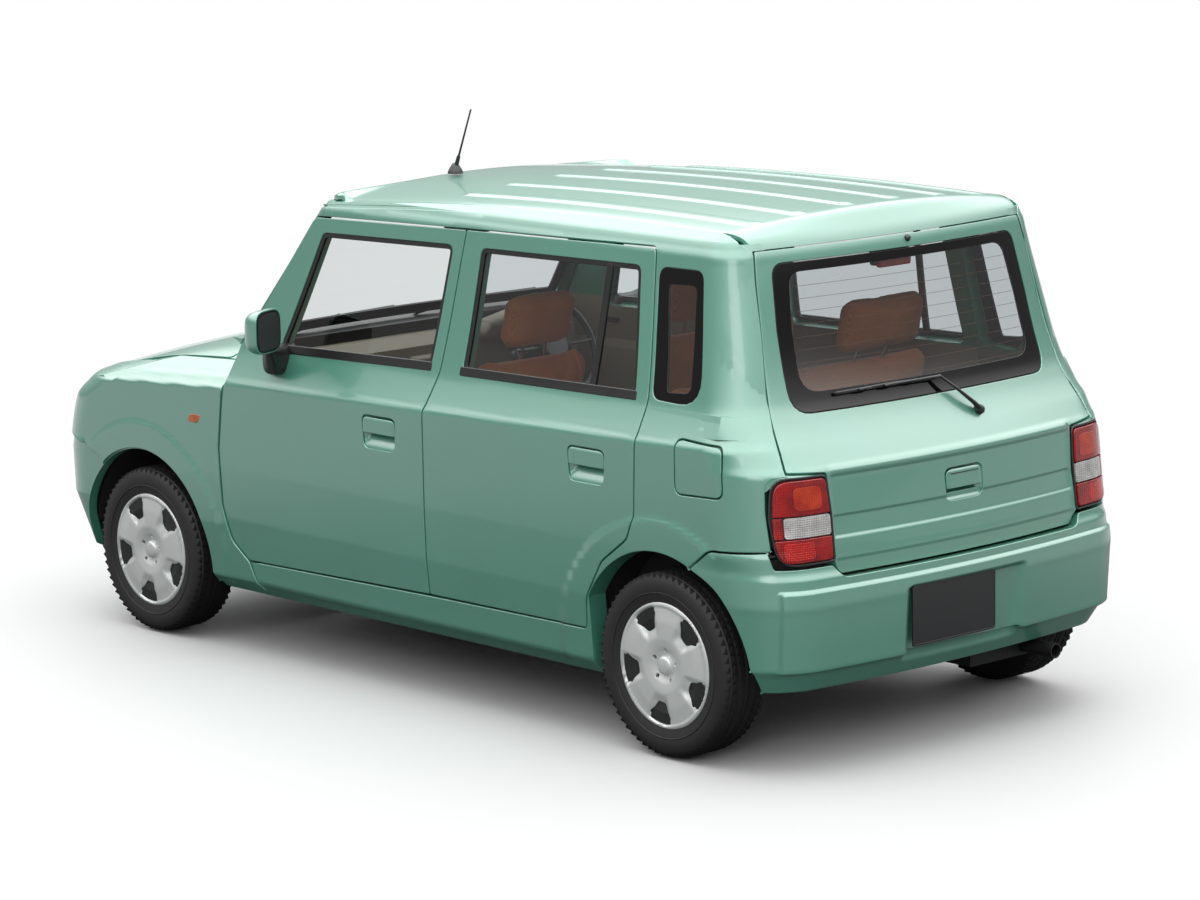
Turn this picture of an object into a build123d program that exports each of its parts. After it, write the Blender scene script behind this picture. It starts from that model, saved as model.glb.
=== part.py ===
"""A five-door kei car, built panel by panel.

Millimetres. +X points to the car's nose, +Y to its left side, +Z up. The origin lies on the floor,
half way along the car's length and on its centre plane. Side outlines are (x, z) points along the
middle of each shut line, rear and front outlines are (y, z) points, and plan outlines (x, y).
"""
import math
import os

from build123d import *

# ---- driving dimensions -------------------------------------------------------------------------
LENGTH = 3395.0                # bumper to bumper
WIDTH = 1475.0                 # across the body
ROOF_HEIGHT = 1505.0           # top of the roof's crown
WHEELBASE = 2360.0
REAR_OVERHANG = 505.0          # rear axle to the rear bumper's face
TRACK = 1295.0
TYRE_DIAMETER = 532.0          # 155/65 R13
TYRE_WIDTH = 155.0
RIM_DIAMETER = 330.2           # 13 inches

DOOR_THICKNESS = 60.0          # a door, quarter panel or tailgate below the belt
FRAME_THICKNESS = 45.0         # window frames, pillars and roof
FENDER_THICKNESS = 30.0        # fenders, bonnet and bumpers
LIP_THICKNESS = 12.0           # outer flange of a door or tailgate
LIP_STEP = 12.0                # how far the body of a door sits inside its flange
GLASS_THICKNESS = 5.0
GLASS_DEPTH = 8.0              # glass face behind the outer skin
GLASS_LAP = 12.0               # how far glass runs into its frame
PANEL_GAP = 7.0                # shut line between two panels
FIT = 0.3                      # clearance between faces that only touch
SILL_DEPTH = 120.0
SILL_HEIGHT = 80.0
FLOOR_TOP = 250.0
FLOOR_THICKNESS = 20.0
LUGGAGE_FLOOR = 400.0
HINGE_INSET = 12.0             # hinge line behind the outer skin
HINGE_SETBACK = 45.0           # hinge line behind a door's front edge
PIN_RADIUS = 4.0
EYE_RADIUS = 8.0
EYE_HEIGHT = 14.0
POCKET_HEIGHT = 28.0
SWING_ROOM = 90.0              # from the outer skin in to the door posts
POST_DEPTH = 50.0
POST_WIDTH = 90.0

HALF_WIDTH = WIDTH / 2
REAR_END = -LENGTH / 2
FRONT_END = LENGTH / 2
REAR_AXLE = REAR_END + REAR_OVERHANG
FRONT_AXLE = REAR_AXLE + WHEELBASE
WHEEL_RADIUS = TYRE_DIAMETER / 2
WHEEL_Y = TRACK / 2
FIREWALL = FRONT_AXLE - 372.0
FAR = 4000.0

# ---- body surfaces ------------------------------------------------------------------------------
# Plan outlines, from the sill up. Columns: height, side inset, rear inset, front inset, rear corner
# radius, front corner radius, rear bow, front bow.
CABIN_BASE = [
    (190.0, 70.0, 120.0, 150.0, 170.0, 170.0, 40.0, 40.0),
    (240.0, 24.0, 80.0, 90.0, 190.0, 190.0, 40.0, 40.0),
    (430.0, 4.0, 34.0, 30.0, 200.0, 200.0, 40.0, 40.0),
    (589.0, 0.0, 30.0, 30.0, 200.0, 200.0, 40.0, 40.0),
    (828.0, 0.0, 57.0, 30.0, 200.0, 200.0, 40.0, 40.0),
    (985.0, 0.0, 168.0, 30.0, 200.0, 200.0, 40.0, 40.0),
]
CABIN_TOP = [
    (880.0, 50.0, 140.0, 825.0, 150.0, 60.0, 40.0, 55.0),
    (985.0, 50.0, 168.0, 912.0, 150.0, 60.0, 40.0, 55.0),
    (1400.0, 124.0, 278.0, 1228.0, 110.0, 50.0, 38.0, 55.0),
    (1440.0, 144.0, 296.0, 1262.0, 90.0, 45.0, 38.0, 55.0),
    (1470.0, 190.0, 325.0, 1310.0, 70.0, 40.0, 38.0, 55.0),
    (1520.0, 300.0, 400.0, 1420.0, 50.0, 40.0, 38.0, 55.0),
]
NOSE = [
    (190.0, 70.0, 1500.0, 170.0, 60.0, 170.0, 10.0, 35.0),
    (240.0, 24.0, 1500.0, 75.0, 60.0, 180.0, 10.0, 35.0),
    (408.0, 4.0, 1500.0, 4.0, 60.0, 180.0, 10.0, 35.0),
    (550.0, 0.0, 1500.0, 0.0, 60.0, 185.0, 10.0, 35.0),
    (716.0, 0.0, 1500.0, 10.0, 60.0, 200.0, 10.0, 55.0),
    (785.0, 2.0, 1500.0, 24.0, 60.0, 240.0, 10.0, 90.0),
    (850.0, 6.0, 1500.0, 90.0, 60.0, 270.0, 10.0, 120.0),
    (1000.0, 20.0, 1500.0, 260.0, 60.0, 300.0, 10.0, 140.0),
]
TAIL = [
    (224.0, 44.0, 60.0, 1500.0, 180.0, 60.0, 30.0, 10.0),
    (300.0, 10.0, 12.0, 1500.0, 200.0, 60.0, 32.0, 10.0),
    (480.0, 0.0, 0.0, 1500.0, 205.0, 60.0, 34.0, 10.0),
    (548.0, 0.0, 4.0, 1500.0, 205.0, 60.0, 36.0, 10.0),
    (640.0, 0.0, 46.0, 1500.0, 200.0, 60.0, 40.0, 10.0),
]
# Cross-sections of the shoulders, as (inset from the side, height above the crease).
CABIN_SHOULDER = [(0.0, 0.0), (34.0, 78.0), (50.0, 122.0), (50.0, 400.0)]
NOSE_SHOULDER = [(0.0, 0.0), (36.0, 34.0), (106.0, 60.0), (186.0, 90.0), (330.0, 130.0)]
# Columns: x where the crease's height is given, that height, downward slope to the front in degrees.
CABIN_CREASE = (-207.0, 863.0, 1.3)
NOSE_CREASE = (1030.0, 812.0, 3.2)
# Crowned tops. Columns: apex x, apex height, radius along the car, radius across it.
ROOF_CROWN = (-800.0, ROOF_HEIGHT, 17000.0, 4200.0)
BONNET_CROWN = (522.0, 972.0, 3600.0, 4200.0)

# ---- outlines of the panels ---------------------------------------------------------------------
B_LINE = [(-204.0, 322.0), (-204.0, 863.0), (-234.0, 985.0), (-281.0, 1394.0)]
FRONT_DOOR = [
    (652.0, 302.0), (725.0, 358.0), (760.0, 465.0), (768.0, 643.0), (748.0, 790.0), (704.0, 966.0),
    (412.0, 1376.0),
] + B_LINE[::-1]
REAR_DOOR = B_LINE + [
    (-1076.0, 1410.0), (-1115.0, 1001.0), (-1107.0, 875.0), (-1100.0, 673.0), (-1075.0, 609.0),
    (-969.0, 533.0), (-900.0, 420.0), (-890.0, 328.0),
]
FRONT_WINDOW = [(514.0, 968.0), (366.0, 1332.0), (-232.0, 1346.0), (-190.0, 989.0)]
REAR_WINDOW = [(-330.0, 989.0), (-354.0, 1347.0), (-1023.0, 1357.0), (-1062.0, 1001.0)]
QUARTER_WINDOW = [(-1130.0, 1005.0), (-1096.0, 1360.0), (-1271.0, 1362.0), (-1318.0, 1035.0), (-1262.0, 993.0)]
WINDSCREEN = [(-628.0, 972.0), (-556.0, 1424.0), (556.0, 1424.0), (628.0, 972.0)]
TAILGATE = [
    (469.0, 549.0), (498.0, 589.0), (498.0, 828.0), (619.0, 838.0), (598.0, 936.0), (581.0, 1024.0),
    (557.0, 1195.0), (544.0, 1332.0), (531.0, 1412.0),
]
TAILGATE_WINDOW = [(486.0, 992.0), (464.0, 1366.0)]
TAIL_LAMP = [(498.0, 589.0), (498.0, 824.0), (640.0, 824.0), (676.0, 790.0), (676.0, 612.0), (640.0, 589.0)]
TAIL_LAMP_FRONT = -1530.0
ROOF_REGION = [(0.0, 1418.0), (490.0, 1418.0), (500.0, 1434.0), (560.0, 1434.0), (560.0, 1600.0)]
B_POST_X = -204.0
A_POST_X = 712.0
FLAP_DEPTH = 30.0
FLAP_PIN_RADIUS = 2.5
FLAP_EYE_RADIUS = 5.0
FLAP_HINGE_X = -1267.0 - 18.0
FLAP_HINGE_Z = 838.0
SIDE_INNER = 483.0
WHEELHOUSE_Y = 415.0
BONNET_FOOT = 740.0
BELT_FOOT = 850.0
PLATE_X = -1686.5
PLATE_Y = 75.0
PLATE_Z = 402.0
PLATE_RECESS_Y = 17.0
PLATE_RECESS = 470.0
PLATE_RECESS_TOP = 490.0
PLATE_THICKNESS = 4.0
PLATE_BOLTS = 210.0
PLATE_BOLT_RADIUS = 3.5
BONNET_PIVOT = (905.0, 895.0)
BONNET_HINGE_Y = 300.0
COWL_FOOT = 925.3
COWL_TOP = 959.4
GATE_PIVOT = (-1411.0, 1396.0)
GATE_PIN_RADIUS = 3.5
GATE_EYE_RADIUS = 7.0
GATE_HINGE_Y = 120.0
GATE_ARM_X = -1350.0
FENDER_INNER = 586.0
FLAP_THICKNESS = 12.0
REAR_HOUSE_Y = 545.0
HOUSE_RADIUS = 342.0
HOUSE_WALL = 6.0
HOUSE_FOOT = WHEEL_RADIUS + 45.0
RAIL_WIDTH = 60.0
KINGPIN_Y = WHEEL_Y - 35.0
KINGPIN_RADIUS = 10.0
KNUCKLE_RADIUS = 22.0
STRUT_Y = KINGPIN_Y - 94.0
STRUT_RADIUS = 20.0
ARM_HALF = 14.0
LOWER_ARM_Z = WHEEL_RADIUS - 96.0
UPPER_ARM_Z = WHEEL_RADIUS + 96.0
STUB_RADIUS = 18.0
HUB_FACE_Y = WHEEL_Y + 30.0
BEAM_RADIUS = 30.0
REAR_HUB_Y = 540.0
SPRING_Y = 430.0
HELM_Y = -330.0
WHEEL_HUB_X = 420.0
WHEEL_HUB_Z = 870.0
HELM_TILT = math.radians(28.0)
HELM_RADIUS = 180.0
BUMPER_NOTCH = [(469.0, 549.0), (498.0, 589.0), (498.0, 824.0)]
BRACKET_DROP = 30.0
HEADLAMP = [(430.0, 600.0), (430.0, 700.0), (470.0, 760.0), (640.0, 800.0), (740.0, 800.0), (740.0, 600.0)]
GRILLE = [(400.0, 590.0), (400.0, 730.0), (-400.0, 730.0), (-400.0, 590.0)]
BUMPER_SEAM = [(-1322.0, 150.0), (-1322.0, 557.0), (-1400.0, 622.0), (-1800.0, 636.0), (-1800.0, 150.0)]
FRONT_BUMPER_SEAM = [(1900.0, 150.0), (1380.0, 150.0), (1380.0, 540.0), (1462.0, 572.0), (1900.0, 600.0)]
FENDER_REAR = [
    (600.0, 150.0), (652.0, 302.0), (725.0, 358.0), (760.0, 465.0), (768.0, 643.0), (748.0, 790.0),
    (704.0, 966.0),
]
BONNET_SIDE_Y = 600.0
BONNET_REAR = 880.0
FUEL_FLAP = [(-1267.0, 753.0), (-1267.0, 923.0), (-1479.0, 923.0), (-1479.0, 753.0)]


def plan_outline(row, inset):
    """A closed plan outline: bowed ends, round corners and straight sides."""
    height, side, rear, front, rear_radius, front_radius, rear_bow, front_bow = row
    half = HALF_WIDTH - side - inset
    rear = REAR_END + rear + inset
    front = FRONT_END - front - inset
    rear_radius = max(rear_radius - inset, 15.0)
    front_radius = max(front_radius - inset, 15.0)
    rear_x = rear + rear_bow
    front_x = front - front_bow
    cut = 1 - math.cos(math.pi / 4)
    with BuildSketch(Plane.XY.offset(height)) as outline:
        with BuildLine():
            ThreePointArc((rear_x, half - rear_radius), (rear, 0), (rear_x, rear_radius - half))
            ThreePointArc(
                (rear_x, rear_radius - half),
                (rear_x + rear_radius * cut, rear_radius * cut - half),
                (rear_x + rear_radius, -half),
            )
            Line((rear_x + rear_radius, -half), (front_x - front_radius, -half))
            ThreePointArc(
                (front_x - front_radius, -half),
                (front_x - front_radius * cut, front_radius * cut - half),
                (front_x, front_radius - half),
            )
            ThreePointArc((front_x, front_radius - half), (front, 0), (front_x, half - front_radius))
            ThreePointArc(
                (front_x, half - front_radius),
                (front_x - front_radius * cut, half - front_radius * cut),
                (front_x - front_radius, half),
            )
            Line((front_x - front_radius, half), (rear_x + rear_radius, half))
            ThreePointArc(
                (rear_x + rear_radius, half),
                (rear_x + rear_radius * cut, half - rear_radius * cut),
                (rear_x, half - rear_radius),
            )
        make_face()
    return outline.sketch


def stack(table, inset):
    """The solid through a table of plan outlines, taken in on every side."""
    with BuildPart() as solid:
        for row in table:
            add(plan_outline(row, inset))
        loft(ruled=True)
    return solid.part


def shoulder(section, crease, inset):
    """All that lies under a shoulder whose crease slopes down to the front."""
    crease_x, crease_z, slope = crease
    start = Plane(
        origin=(crease_x, 0, crease_z),
        x_dir=(0, 1, 0),
        z_dir=(math.cos(math.radians(slope)), 0, -math.sin(math.radians(slope))),
    )
    right = [(HALF_WIDTH - inset - side, height) for side, height in section]
    left = [(-y, height) for y, height in right[::-1]]
    foot = (HALF_WIDTH - inset, -1200.0)
    with BuildPart() as solid:
        with BuildSketch(start):
            with BuildLine():
                Polyline(foot, *right, *left, (-foot[0], foot[1]), close=True)
            make_face()
        extrude(amount=FAR / 2, both=True)
    return solid.part


def crowned(crown, inset):
    """All that lies under a top that is crowned along the car and across it."""
    apex_x, apex_z, along, across = crown
    half = 1000.0
    drop = across - math.sqrt(across**2 - half**2)
    top = apex_z - inset
    swing = math.degrees(5200.0 / along)
    axis = Axis((apex_x, 0, top - along), (0, 1, 0))
    with BuildPart() as solid:
        with BuildSketch(Plane.YZ.offset(apex_x)):
            with BuildLine():
                ThreePointArc((-half, top - drop), (0, top), (half, top - drop))
                Polyline((half, top - drop), (half, -700), (-half, -700), (-half, top - drop))
            make_face()
        revolve(axis=axis, revolution_arc=swing)
        revolved = solid.part.rotate(axis, -swing / 2)
    return revolved


def glasshouse(inset):
    with BuildPart() as solid:
        add(stack(CABIN_TOP, inset))
        add(crowned(ROOF_CROWN, inset), mode=Mode.INTERSECT)
    return solid.part


def cabin(inset, frame_inset):
    """The body behind the bonnet: base, shoulder and glasshouse."""
    with BuildPart() as solid:
        add(stack(CABIN_BASE, inset))
        add(shoulder(CABIN_SHOULDER, CABIN_CREASE, inset), mode=Mode.INTERSECT)
        add(glasshouse(frame_inset))
    return solid.part


def nose(inset):
    with BuildPart() as solid:
        add(stack(NOSE, inset))
        add(shoulder(NOSE_SHOULDER, NOSE_CREASE, inset), mode=Mode.INTERSECT)
        add(crowned(BONNET_CROWN, inset), mode=Mode.INTERSECT)
    return solid.part



def side_prism(points, grow=0.0, corner=0.0, near=60.0):
    """A prism out through the left side from a side outline, moved out by grow."""
    with BuildPart() as prism:
        with BuildSketch(Plane.XZ.offset(-near)) as outline:
            with BuildLine():
                Polyline(*points, close=True)
            make_face()
            if corner:
                fillet(outline.vertices(), corner)
            if grow:
                offset(amount=grow, kind=Kind.INTERSECTION)
        extrude(amount=-FAR / 4)
    return prism.part


def end_prism(points, start, depth, grow=0.0, corner=0.0):
    """A prism along the car from a rear or front outline, moved out by grow."""
    with BuildPart() as prism:
        with BuildSketch(Plane.YZ.offset(start)) as outline:
            with BuildLine():
                Polyline(*points, close=True)
            make_face()
            if corner:
                fillet(outline.vertices(), corner)
            if grow:
                offset(amount=grow, kind=Kind.INTERSECTION)
        extrude(amount=depth)
    return prism.part


def both_sides(points):
    """A half outline given on the left, closed over both sides."""
    return points + [(-y, z) for y, z in points[::-1]]


def box(low, high):
    """A box between two corners."""
    sizes = [b - a for a, b in zip(low, high)]
    middle = [(a + b) / 2 for a, b in zip(low, high)]
    with BuildPart() as solid:
        with Locations(tuple(middle)):
            Box(*sizes)
    return solid.part


def across(axle_x, height, radius, low_y, high_y):
    """A cylinder that lies across the car."""
    with BuildPart() as solid:
        with BuildSketch(Plane.XZ.offset(-low_y)):
            with Locations((axle_x, height)):
                Circle(radius)
        extrude(amount=low_y - high_y)
    return solid.part


def upright(x, y, radius, low_z, high_z):
    with BuildPart() as solid:
        with BuildSketch(Plane.XY.offset(low_z)):
            with Locations((x, y)):
                Circle(radius)
        extrude(amount=high_z - low_z)
    return solid.part


def mirrored(part):
    return mirror(part, about=Plane.XZ)


def write(part, name):
    part.label = name
    export_step(part, f"parts/{name}.step")


def write_pair(part, name):
    """The left piece and its mirror image, as two nodes."""
    write(part, f"{name}_left")
    write(mirrored(part), f"{name}_right")


def write_both(part, name):
    """The left piece and its mirror image, in one node."""
    with BuildPart() as pair:
        add(part)
        add(mirrored(part))
    write(pair.part, name)


os.makedirs("parts", exist_ok=True)

# ---- surfaces shared by the panels --------------------------------------------------------------
skin = cabin(0, 0)
under_lip = cabin(LIP_THICKNESS, LIP_THICKNESS)
cavity = cabin(DOOR_THICKNESS, FRAME_THICKNESS)
glass_front = glasshouse(GLASS_DEPTH)
glass_back = glasshouse(GLASS_DEPTH + GLASS_THICKNESS)
slot_front = glasshouse(GLASS_DEPTH - FIT)
slot_back = glasshouse(GLASS_DEPTH + GLASS_THICKNESS + FIT)
nose_skin = nose(0)
nose_cavity = nose(FENDER_THICKNESS)
tail_skin = stack(TAIL, 0)
tail_cavity = stack(TAIL, FENDER_THICKNESS)
gap = PANEL_GAP / 2


def pane(prism):
    """Glass that fills a prism, set behind the outer skin."""
    with BuildPart() as glass:
        add(glass_front)
        add(prism, mode=Mode.INTERSECT)
        add(glass_back, mode=Mode.SUBTRACT)
    return glass.part


def glass_slot(prism):
    """The groove in a frame that holds the edge of its glass."""
    with BuildPart() as slot:
        add(slot_front)
        add(prism, mode=Mode.INTERSECT)
        add(slot_back, mode=Mode.SUBTRACT)
    return slot.part


# ---- doors --------------------------------------------------------------------------------------
# Columns: name, outline, window, window corner radius, foremost x of the front edge, hinge heights.
DOORS = [
    ("front_door", FRONT_DOOR, FRONT_WINDOW, 30.0, 768.0, (520.0, 760.0)),
    ("rear_door", REAR_DOOR, REAR_WINDOW, 30.0, -204.0, (520.0, 760.0)),
]


def hinge_place(foremost):
    return (foremost - HINGE_SETBACK, HALF_WIDTH - HINGE_INSET)


def hinge_arm(x, y, height):
    """An arm from the door post out to the eye round the door's pin."""
    with BuildPart() as arm:
        with BuildSketch(Plane.XY.offset(height - EYE_HEIGHT / 2)):
            with Locations((x, y)):
                Circle(EYE_RADIUS)
            with Locations((x, y - (SWING_ROOM + POST_DEPTH / 2) / 2)):
                Rectangle(1.5 * PIN_RADIUS, SWING_ROOM + POST_DEPTH / 2)
            with Locations((x, y)):
                Circle(PIN_RADIUS + FIT, mode=Mode.SUBTRACT)
        extrude(amount=EYE_HEIGHT)
    return arm.part


for name, outline, window, corner, foremost, heights in DOORS:
    hinge_x, hinge_y = hinge_place(foremost)
    with BuildPart() as door:
        add(skin)
        add(side_prism(outline, -gap), mode=Mode.INTERSECT)
        add(under_lip, mode=Mode.SUBTRACT)
        with BuildPart(mode=Mode.PRIVATE) as inner:
            add(under_lip)
            add(side_prism(outline, -gap - LIP_STEP), mode=Mode.INTERSECT)
            add(cavity, mode=Mode.SUBTRACT)
        add(inner.part)
        add(side_prism(window, 0, corner), mode=Mode.SUBTRACT)
        add(glass_slot(side_prism(window, GLASS_LAP + FIT, 0)), mode=Mode.SUBTRACT)
        for height in heights:
            low = (hinge_x - EYE_RADIUS - PANEL_GAP, hinge_y - FAR / 40, height - POCKET_HEIGHT / 2)
            high = (hinge_x + FAR / 40, hinge_y + EYE_RADIUS + 1, height + POCKET_HEIGHT / 2)
            add(box(low, high), mode=Mode.SUBTRACT)
            pin = upright(hinge_x, hinge_y, PIN_RADIUS, height - POCKET_HEIGHT / 2, height + POCKET_HEIGHT / 2)
            add(pin)
    write_pair(door.part, name)
    write_pair(pane(side_prism(window, GLASS_LAP)), f"{name}_glass")

# ---- body sides, with door posts, sills and hinge arms ------------------------------------------
SIDE_OUTLINE = FENDER_REAR + [(760.0, 985.0), (760.0, 1600.0), (-1800.0, 1600.0), (-1800.0, 150.0)]
ARCH_FRONT_CLIP = 284.0
ARCH_RADIUS = 325.0


def arch(axle_x, radius, low_y, clip):
    """The opening over a wheel, flattened at its front edge."""
    with BuildPart() as opening:
        add(across(axle_x, WHEEL_RADIUS, radius, low_y, FAR / 4))
        add(box((axle_x - radius, low_y, -radius), (axle_x + clip, FAR / 4, 2 * radius)), mode=Mode.INTERSECT)
        add(box((axle_x - radius, low_y, 0), (axle_x + clip, FAR / 4, WHEEL_RADIUS)))
    return opening.part


def post(low_x, high_x, high_z, head_y):
    """A door post inboard of the doors, standing on the sill and leaning in above the belt."""
    foot_y = HALF_WIDTH - SWING_ROOM
    foot_z = FLOOR_TOP + FIT
    belt_z = 900.0
    points = [
        (foot_y, foot_z), (foot_y, belt_z), (head_y, high_z), (head_y - POST_DEPTH, high_z),
        (foot_y - POST_DEPTH, belt_z), (foot_y - POST_DEPTH, foot_z),
    ]
    return end_prism(points, low_x, high_x - low_x)


bumper_region = side_prism(BUMPER_SEAM, gap)
gate_points = both_sides(TAILGATE)
screen_hole = end_prism(WINDSCREEN, 300.0, 800.0, GLASS_LAP + FIT)
gate_hole = end_prism(gate_points, -1100.0, -900.0, gap)
lamp_hole = end_prism(TAIL_LAMP, TAIL_LAMP_FRONT, -900.0, FIT)
with BuildPart() as body_side:
    add(skin)
    add(side_prism(SIDE_OUTLINE, -gap, 0, SIDE_INNER), mode=Mode.INTERSECT)
    add(cavity, mode=Mode.SUBTRACT)
    with BuildPart(mode=Mode.PRIVATE) as sill:
        add(skin)
        sill_low = (REAR_AXLE + HOUSE_RADIUS + FIT, HALF_WIDTH - SILL_DEPTH, 150.0)
        add(box(sill_low, (FAR / 4, FAR / 4, FLOOR_TOP + SILL_HEIGHT / 2)), mode=Mode.INTERSECT)
        add(side_prism(SIDE_OUTLINE, -gap), mode=Mode.INTERSECT)
    add(sill.part)
    add(box((600.0, HALF_WIDTH - SILL_DEPTH, 230.0), (A_POST_X + POST_WIDTH / 2, HALF_WIDTH - SWING_ROOM, 290.0)))
    for name, outline, window, corner, foremost, heights in DOORS:
        add(side_prism(outline, gap), mode=Mode.SUBTRACT)
    add(post(B_POST_X - POST_WIDTH / 2, B_POST_X + POST_WIDTH / 2, ROOF_REGION[2][1] - 4.0, 553.0))
    add(post(A_POST_X, A_POST_X + POST_WIDTH / 2, 975.0, 645.0))
    add(side_prism(QUARTER_WINDOW, 0, 25.0), mode=Mode.SUBTRACT)
    add(glass_slot(side_prism(QUARTER_WINDOW, GLASS_LAP + FIT)), mode=Mode.SUBTRACT)
    add(screen_hole, mode=Mode.SUBTRACT)
    add(gate_hole, mode=Mode.SUBTRACT)
    add(end_prism(both_sides(ROOF_REGION), -FAR / 2, FAR, FIT), mode=Mode.SUBTRACT)
    add(box((-FAR, 0, 1380.0), (FAR, ROOF_REGION[1][0] + FIT, FAR)), mode=Mode.SUBTRACT)
    add(bumper_region, mode=Mode.SUBTRACT)
    add(lamp_hole, mode=Mode.SUBTRACT)
    add(arch(REAR_AXLE, ARCH_RADIUS, HALF_WIDTH - 2 * SILL_DEPTH, ARCH_FRONT_CLIP), mode=Mode.SUBTRACT)
    with BuildPart(mode=Mode.PRIVATE) as flap_pocket:
        add(side_prism(FUEL_FLAP, gap, 20.0, HALF_WIDTH - 2 * DOOR_THICKNESS))
        add(cabin(FLAP_DEPTH, FLAP_DEPTH), mode=Mode.SUBTRACT)
    add(flap_pocket.part, mode=Mode.SUBTRACT)
    for name, outline, window, corner, foremost, heights in DOORS:
        for height in heights:
            add(hinge_arm(*hinge_place(foremost), height))
write(mirrored(body_side.part), "body_side_right")


def flap_arm():
    """The short arm and eye that carry the fuel flap."""
    with BuildPart() as arm:
        with BuildSketch(Plane.XY.offset(FLAP_HINGE_Z - EYE_HEIGHT / 2)):
            with Locations((FLAP_HINGE_X, HALF_WIDTH - HINGE_INSET)):
                Circle(FLAP_EYE_RADIUS)
            with Locations((FLAP_HINGE_X, HALF_WIDTH - HINGE_INSET - FLAP_DEPTH / 2)):
                Rectangle(2 * FLAP_PIN_RADIUS, FLAP_DEPTH)
            with Locations((FLAP_HINGE_X, HALF_WIDTH - HINGE_INSET)):
                Circle(FLAP_PIN_RADIUS + FIT, mode=Mode.SUBTRACT)
        extrude(amount=EYE_HEIGHT)
    return arm.part


with BuildPart() as left_side:
    add(body_side.part)
    add(flap_arm())
write(left_side.part, "body_side_left")

with BuildPart() as roof:
    add(skin)
    add(end_prism(both_sides(ROOF_REGION), -FAR / 2, FAR), mode=Mode.INTERSECT)
    add(cavity, mode=Mode.SUBTRACT)
    add(screen_hole, mode=Mode.SUBTRACT)
    add(gate_hole, mode=Mode.SUBTRACT)
    for side in (-1, 1):
        y = side * GATE_HINGE_Y
        with BuildPart(mode=Mode.PRIVATE) as arm:
            add(across(GATE_PIVOT[0], GATE_PIVOT[1], GATE_EYE_RADIUS, y - 7.0, y + 7.0))
            add(box((GATE_PIVOT[0], y - 7.0, GATE_PIVOT[1] - GATE_PIN_RADIUS), (GATE_ARM_X, y + 7.0, GATE_PIVOT[1] + GATE_PIN_RADIUS)))
            add(box((GATE_ARM_X - 10.0, y - 7.0, GATE_PIVOT[1] - GATE_PIN_RADIUS), (GATE_ARM_X, y + 7.0, ROOF_HEIGHT - 30.0)))
            add(across(GATE_PIVOT[0], GATE_PIVOT[1], GATE_PIN_RADIUS + FIT, y - 10.0, y + 10.0), mode=Mode.SUBTRACT)
        add(arm.part)
write(roof.part, "roof_panel")

write_both(pane(side_prism(QUARTER_WINDOW, GLASS_LAP)), "quarter_windows")
write(pane(end_prism(WINDSCREEN, 300.0, 800.0, GLASS_LAP)), "windscreen")

# ---- tailgate -----------------------------------------------------------------------------------
gate_window = both_sides(TAILGATE_WINDOW)
with BuildPart() as tailgate:
    add(skin)
    add(end_prism(gate_points, -1100.0, -900.0, -gap), mode=Mode.INTERSECT)
    add(under_lip, mode=Mode.SUBTRACT)
    with BuildPart(mode=Mode.PRIVATE) as inner:
        add(under_lip)
        add(end_prism(gate_points, -1100.0, -900.0, -gap - LIP_STEP), mode=Mode.INTERSECT)
        add(cavity, mode=Mode.SUBTRACT)
    add(inner.part)
    add(end_prism(gate_window, -1100.0, -900.0, 0, 40.0), mode=Mode.SUBTRACT)
    add(glass_slot(end_prism(gate_window, -1100.0, -900.0, GLASS_LAP + FIT)), mode=Mode.SUBTRACT)
    for side in (-1, 1):
        y = side * GATE_HINGE_Y
        slot_low = (GATE_PIVOT[0] - GATE_EYE_RADIUS - 0.5, y - 16.0, GATE_PIVOT[1] - GATE_EYE_RADIUS - 4.0)
        add(box(slot_low, (0.0, y + 16.0, FAR)), mode=Mode.SUBTRACT)
        add(across(GATE_PIVOT[0], GATE_PIVOT[1], GATE_PIN_RADIUS, y - 17.0, y + 17.0))
write(tailgate.part, "tailgate")
write(pane(end_prism(gate_window, -1100.0, -900.0, GLASS_LAP)), "tailgate_glass")

# ---- lamps and bumpers --------------------------------------------------------------------------
with BuildPart() as tail_lamp:
    add(skin)
    add(end_prism(TAIL_LAMP, TAIL_LAMP_FRONT, -900.0), mode=Mode.INTERSECT)
    add(side_prism(BUMPER_SEAM, FIT), mode=Mode.SUBTRACT)
    add(cavity, mode=Mode.SUBTRACT)
write_both(tail_lamp.part, "tail_lamps")

rear_arch = arch(REAR_AXLE, ARCH_RADIUS + 10, HALF_WIDTH - 2 * SILL_DEPTH, ARCH_FRONT_CLIP)
with BuildPart() as bumper_zone:
    add(side_prism(BUMPER_SEAM, gap - FIT, 0, 0))
    add(mirrored(bumper_zone.part))
with BuildPart() as rear_bumper:
    add(tail_skin)
    add(bumper_zone.part, mode=Mode.INTERSECT)
    add(tail_cavity, mode=Mode.SUBTRACT)
    add(end_prism(both_sides(BUMPER_NOTCH), -1100.0, -900.0, gap), mode=Mode.SUBTRACT)
    add(lamp_hole, mode=Mode.SUBTRACT)
    add(mirrored(lamp_hole), mode=Mode.SUBTRACT)
    add(rear_arch, mode=Mode.SUBTRACT)
    add(mirrored(rear_arch), mode=Mode.SUBTRACT)
    add(box((-FAR, PLATE_RECESS_Y - PLATE_RECESS / 2, 0.0),
            (PLATE_X + PLATE_THICKNESS, PLATE_RECESS_Y + PLATE_RECESS / 2, PLATE_RECESS_TOP)),
        mode=Mode.SUBTRACT)
write(rear_bumper.part, "rear_bumper")

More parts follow.
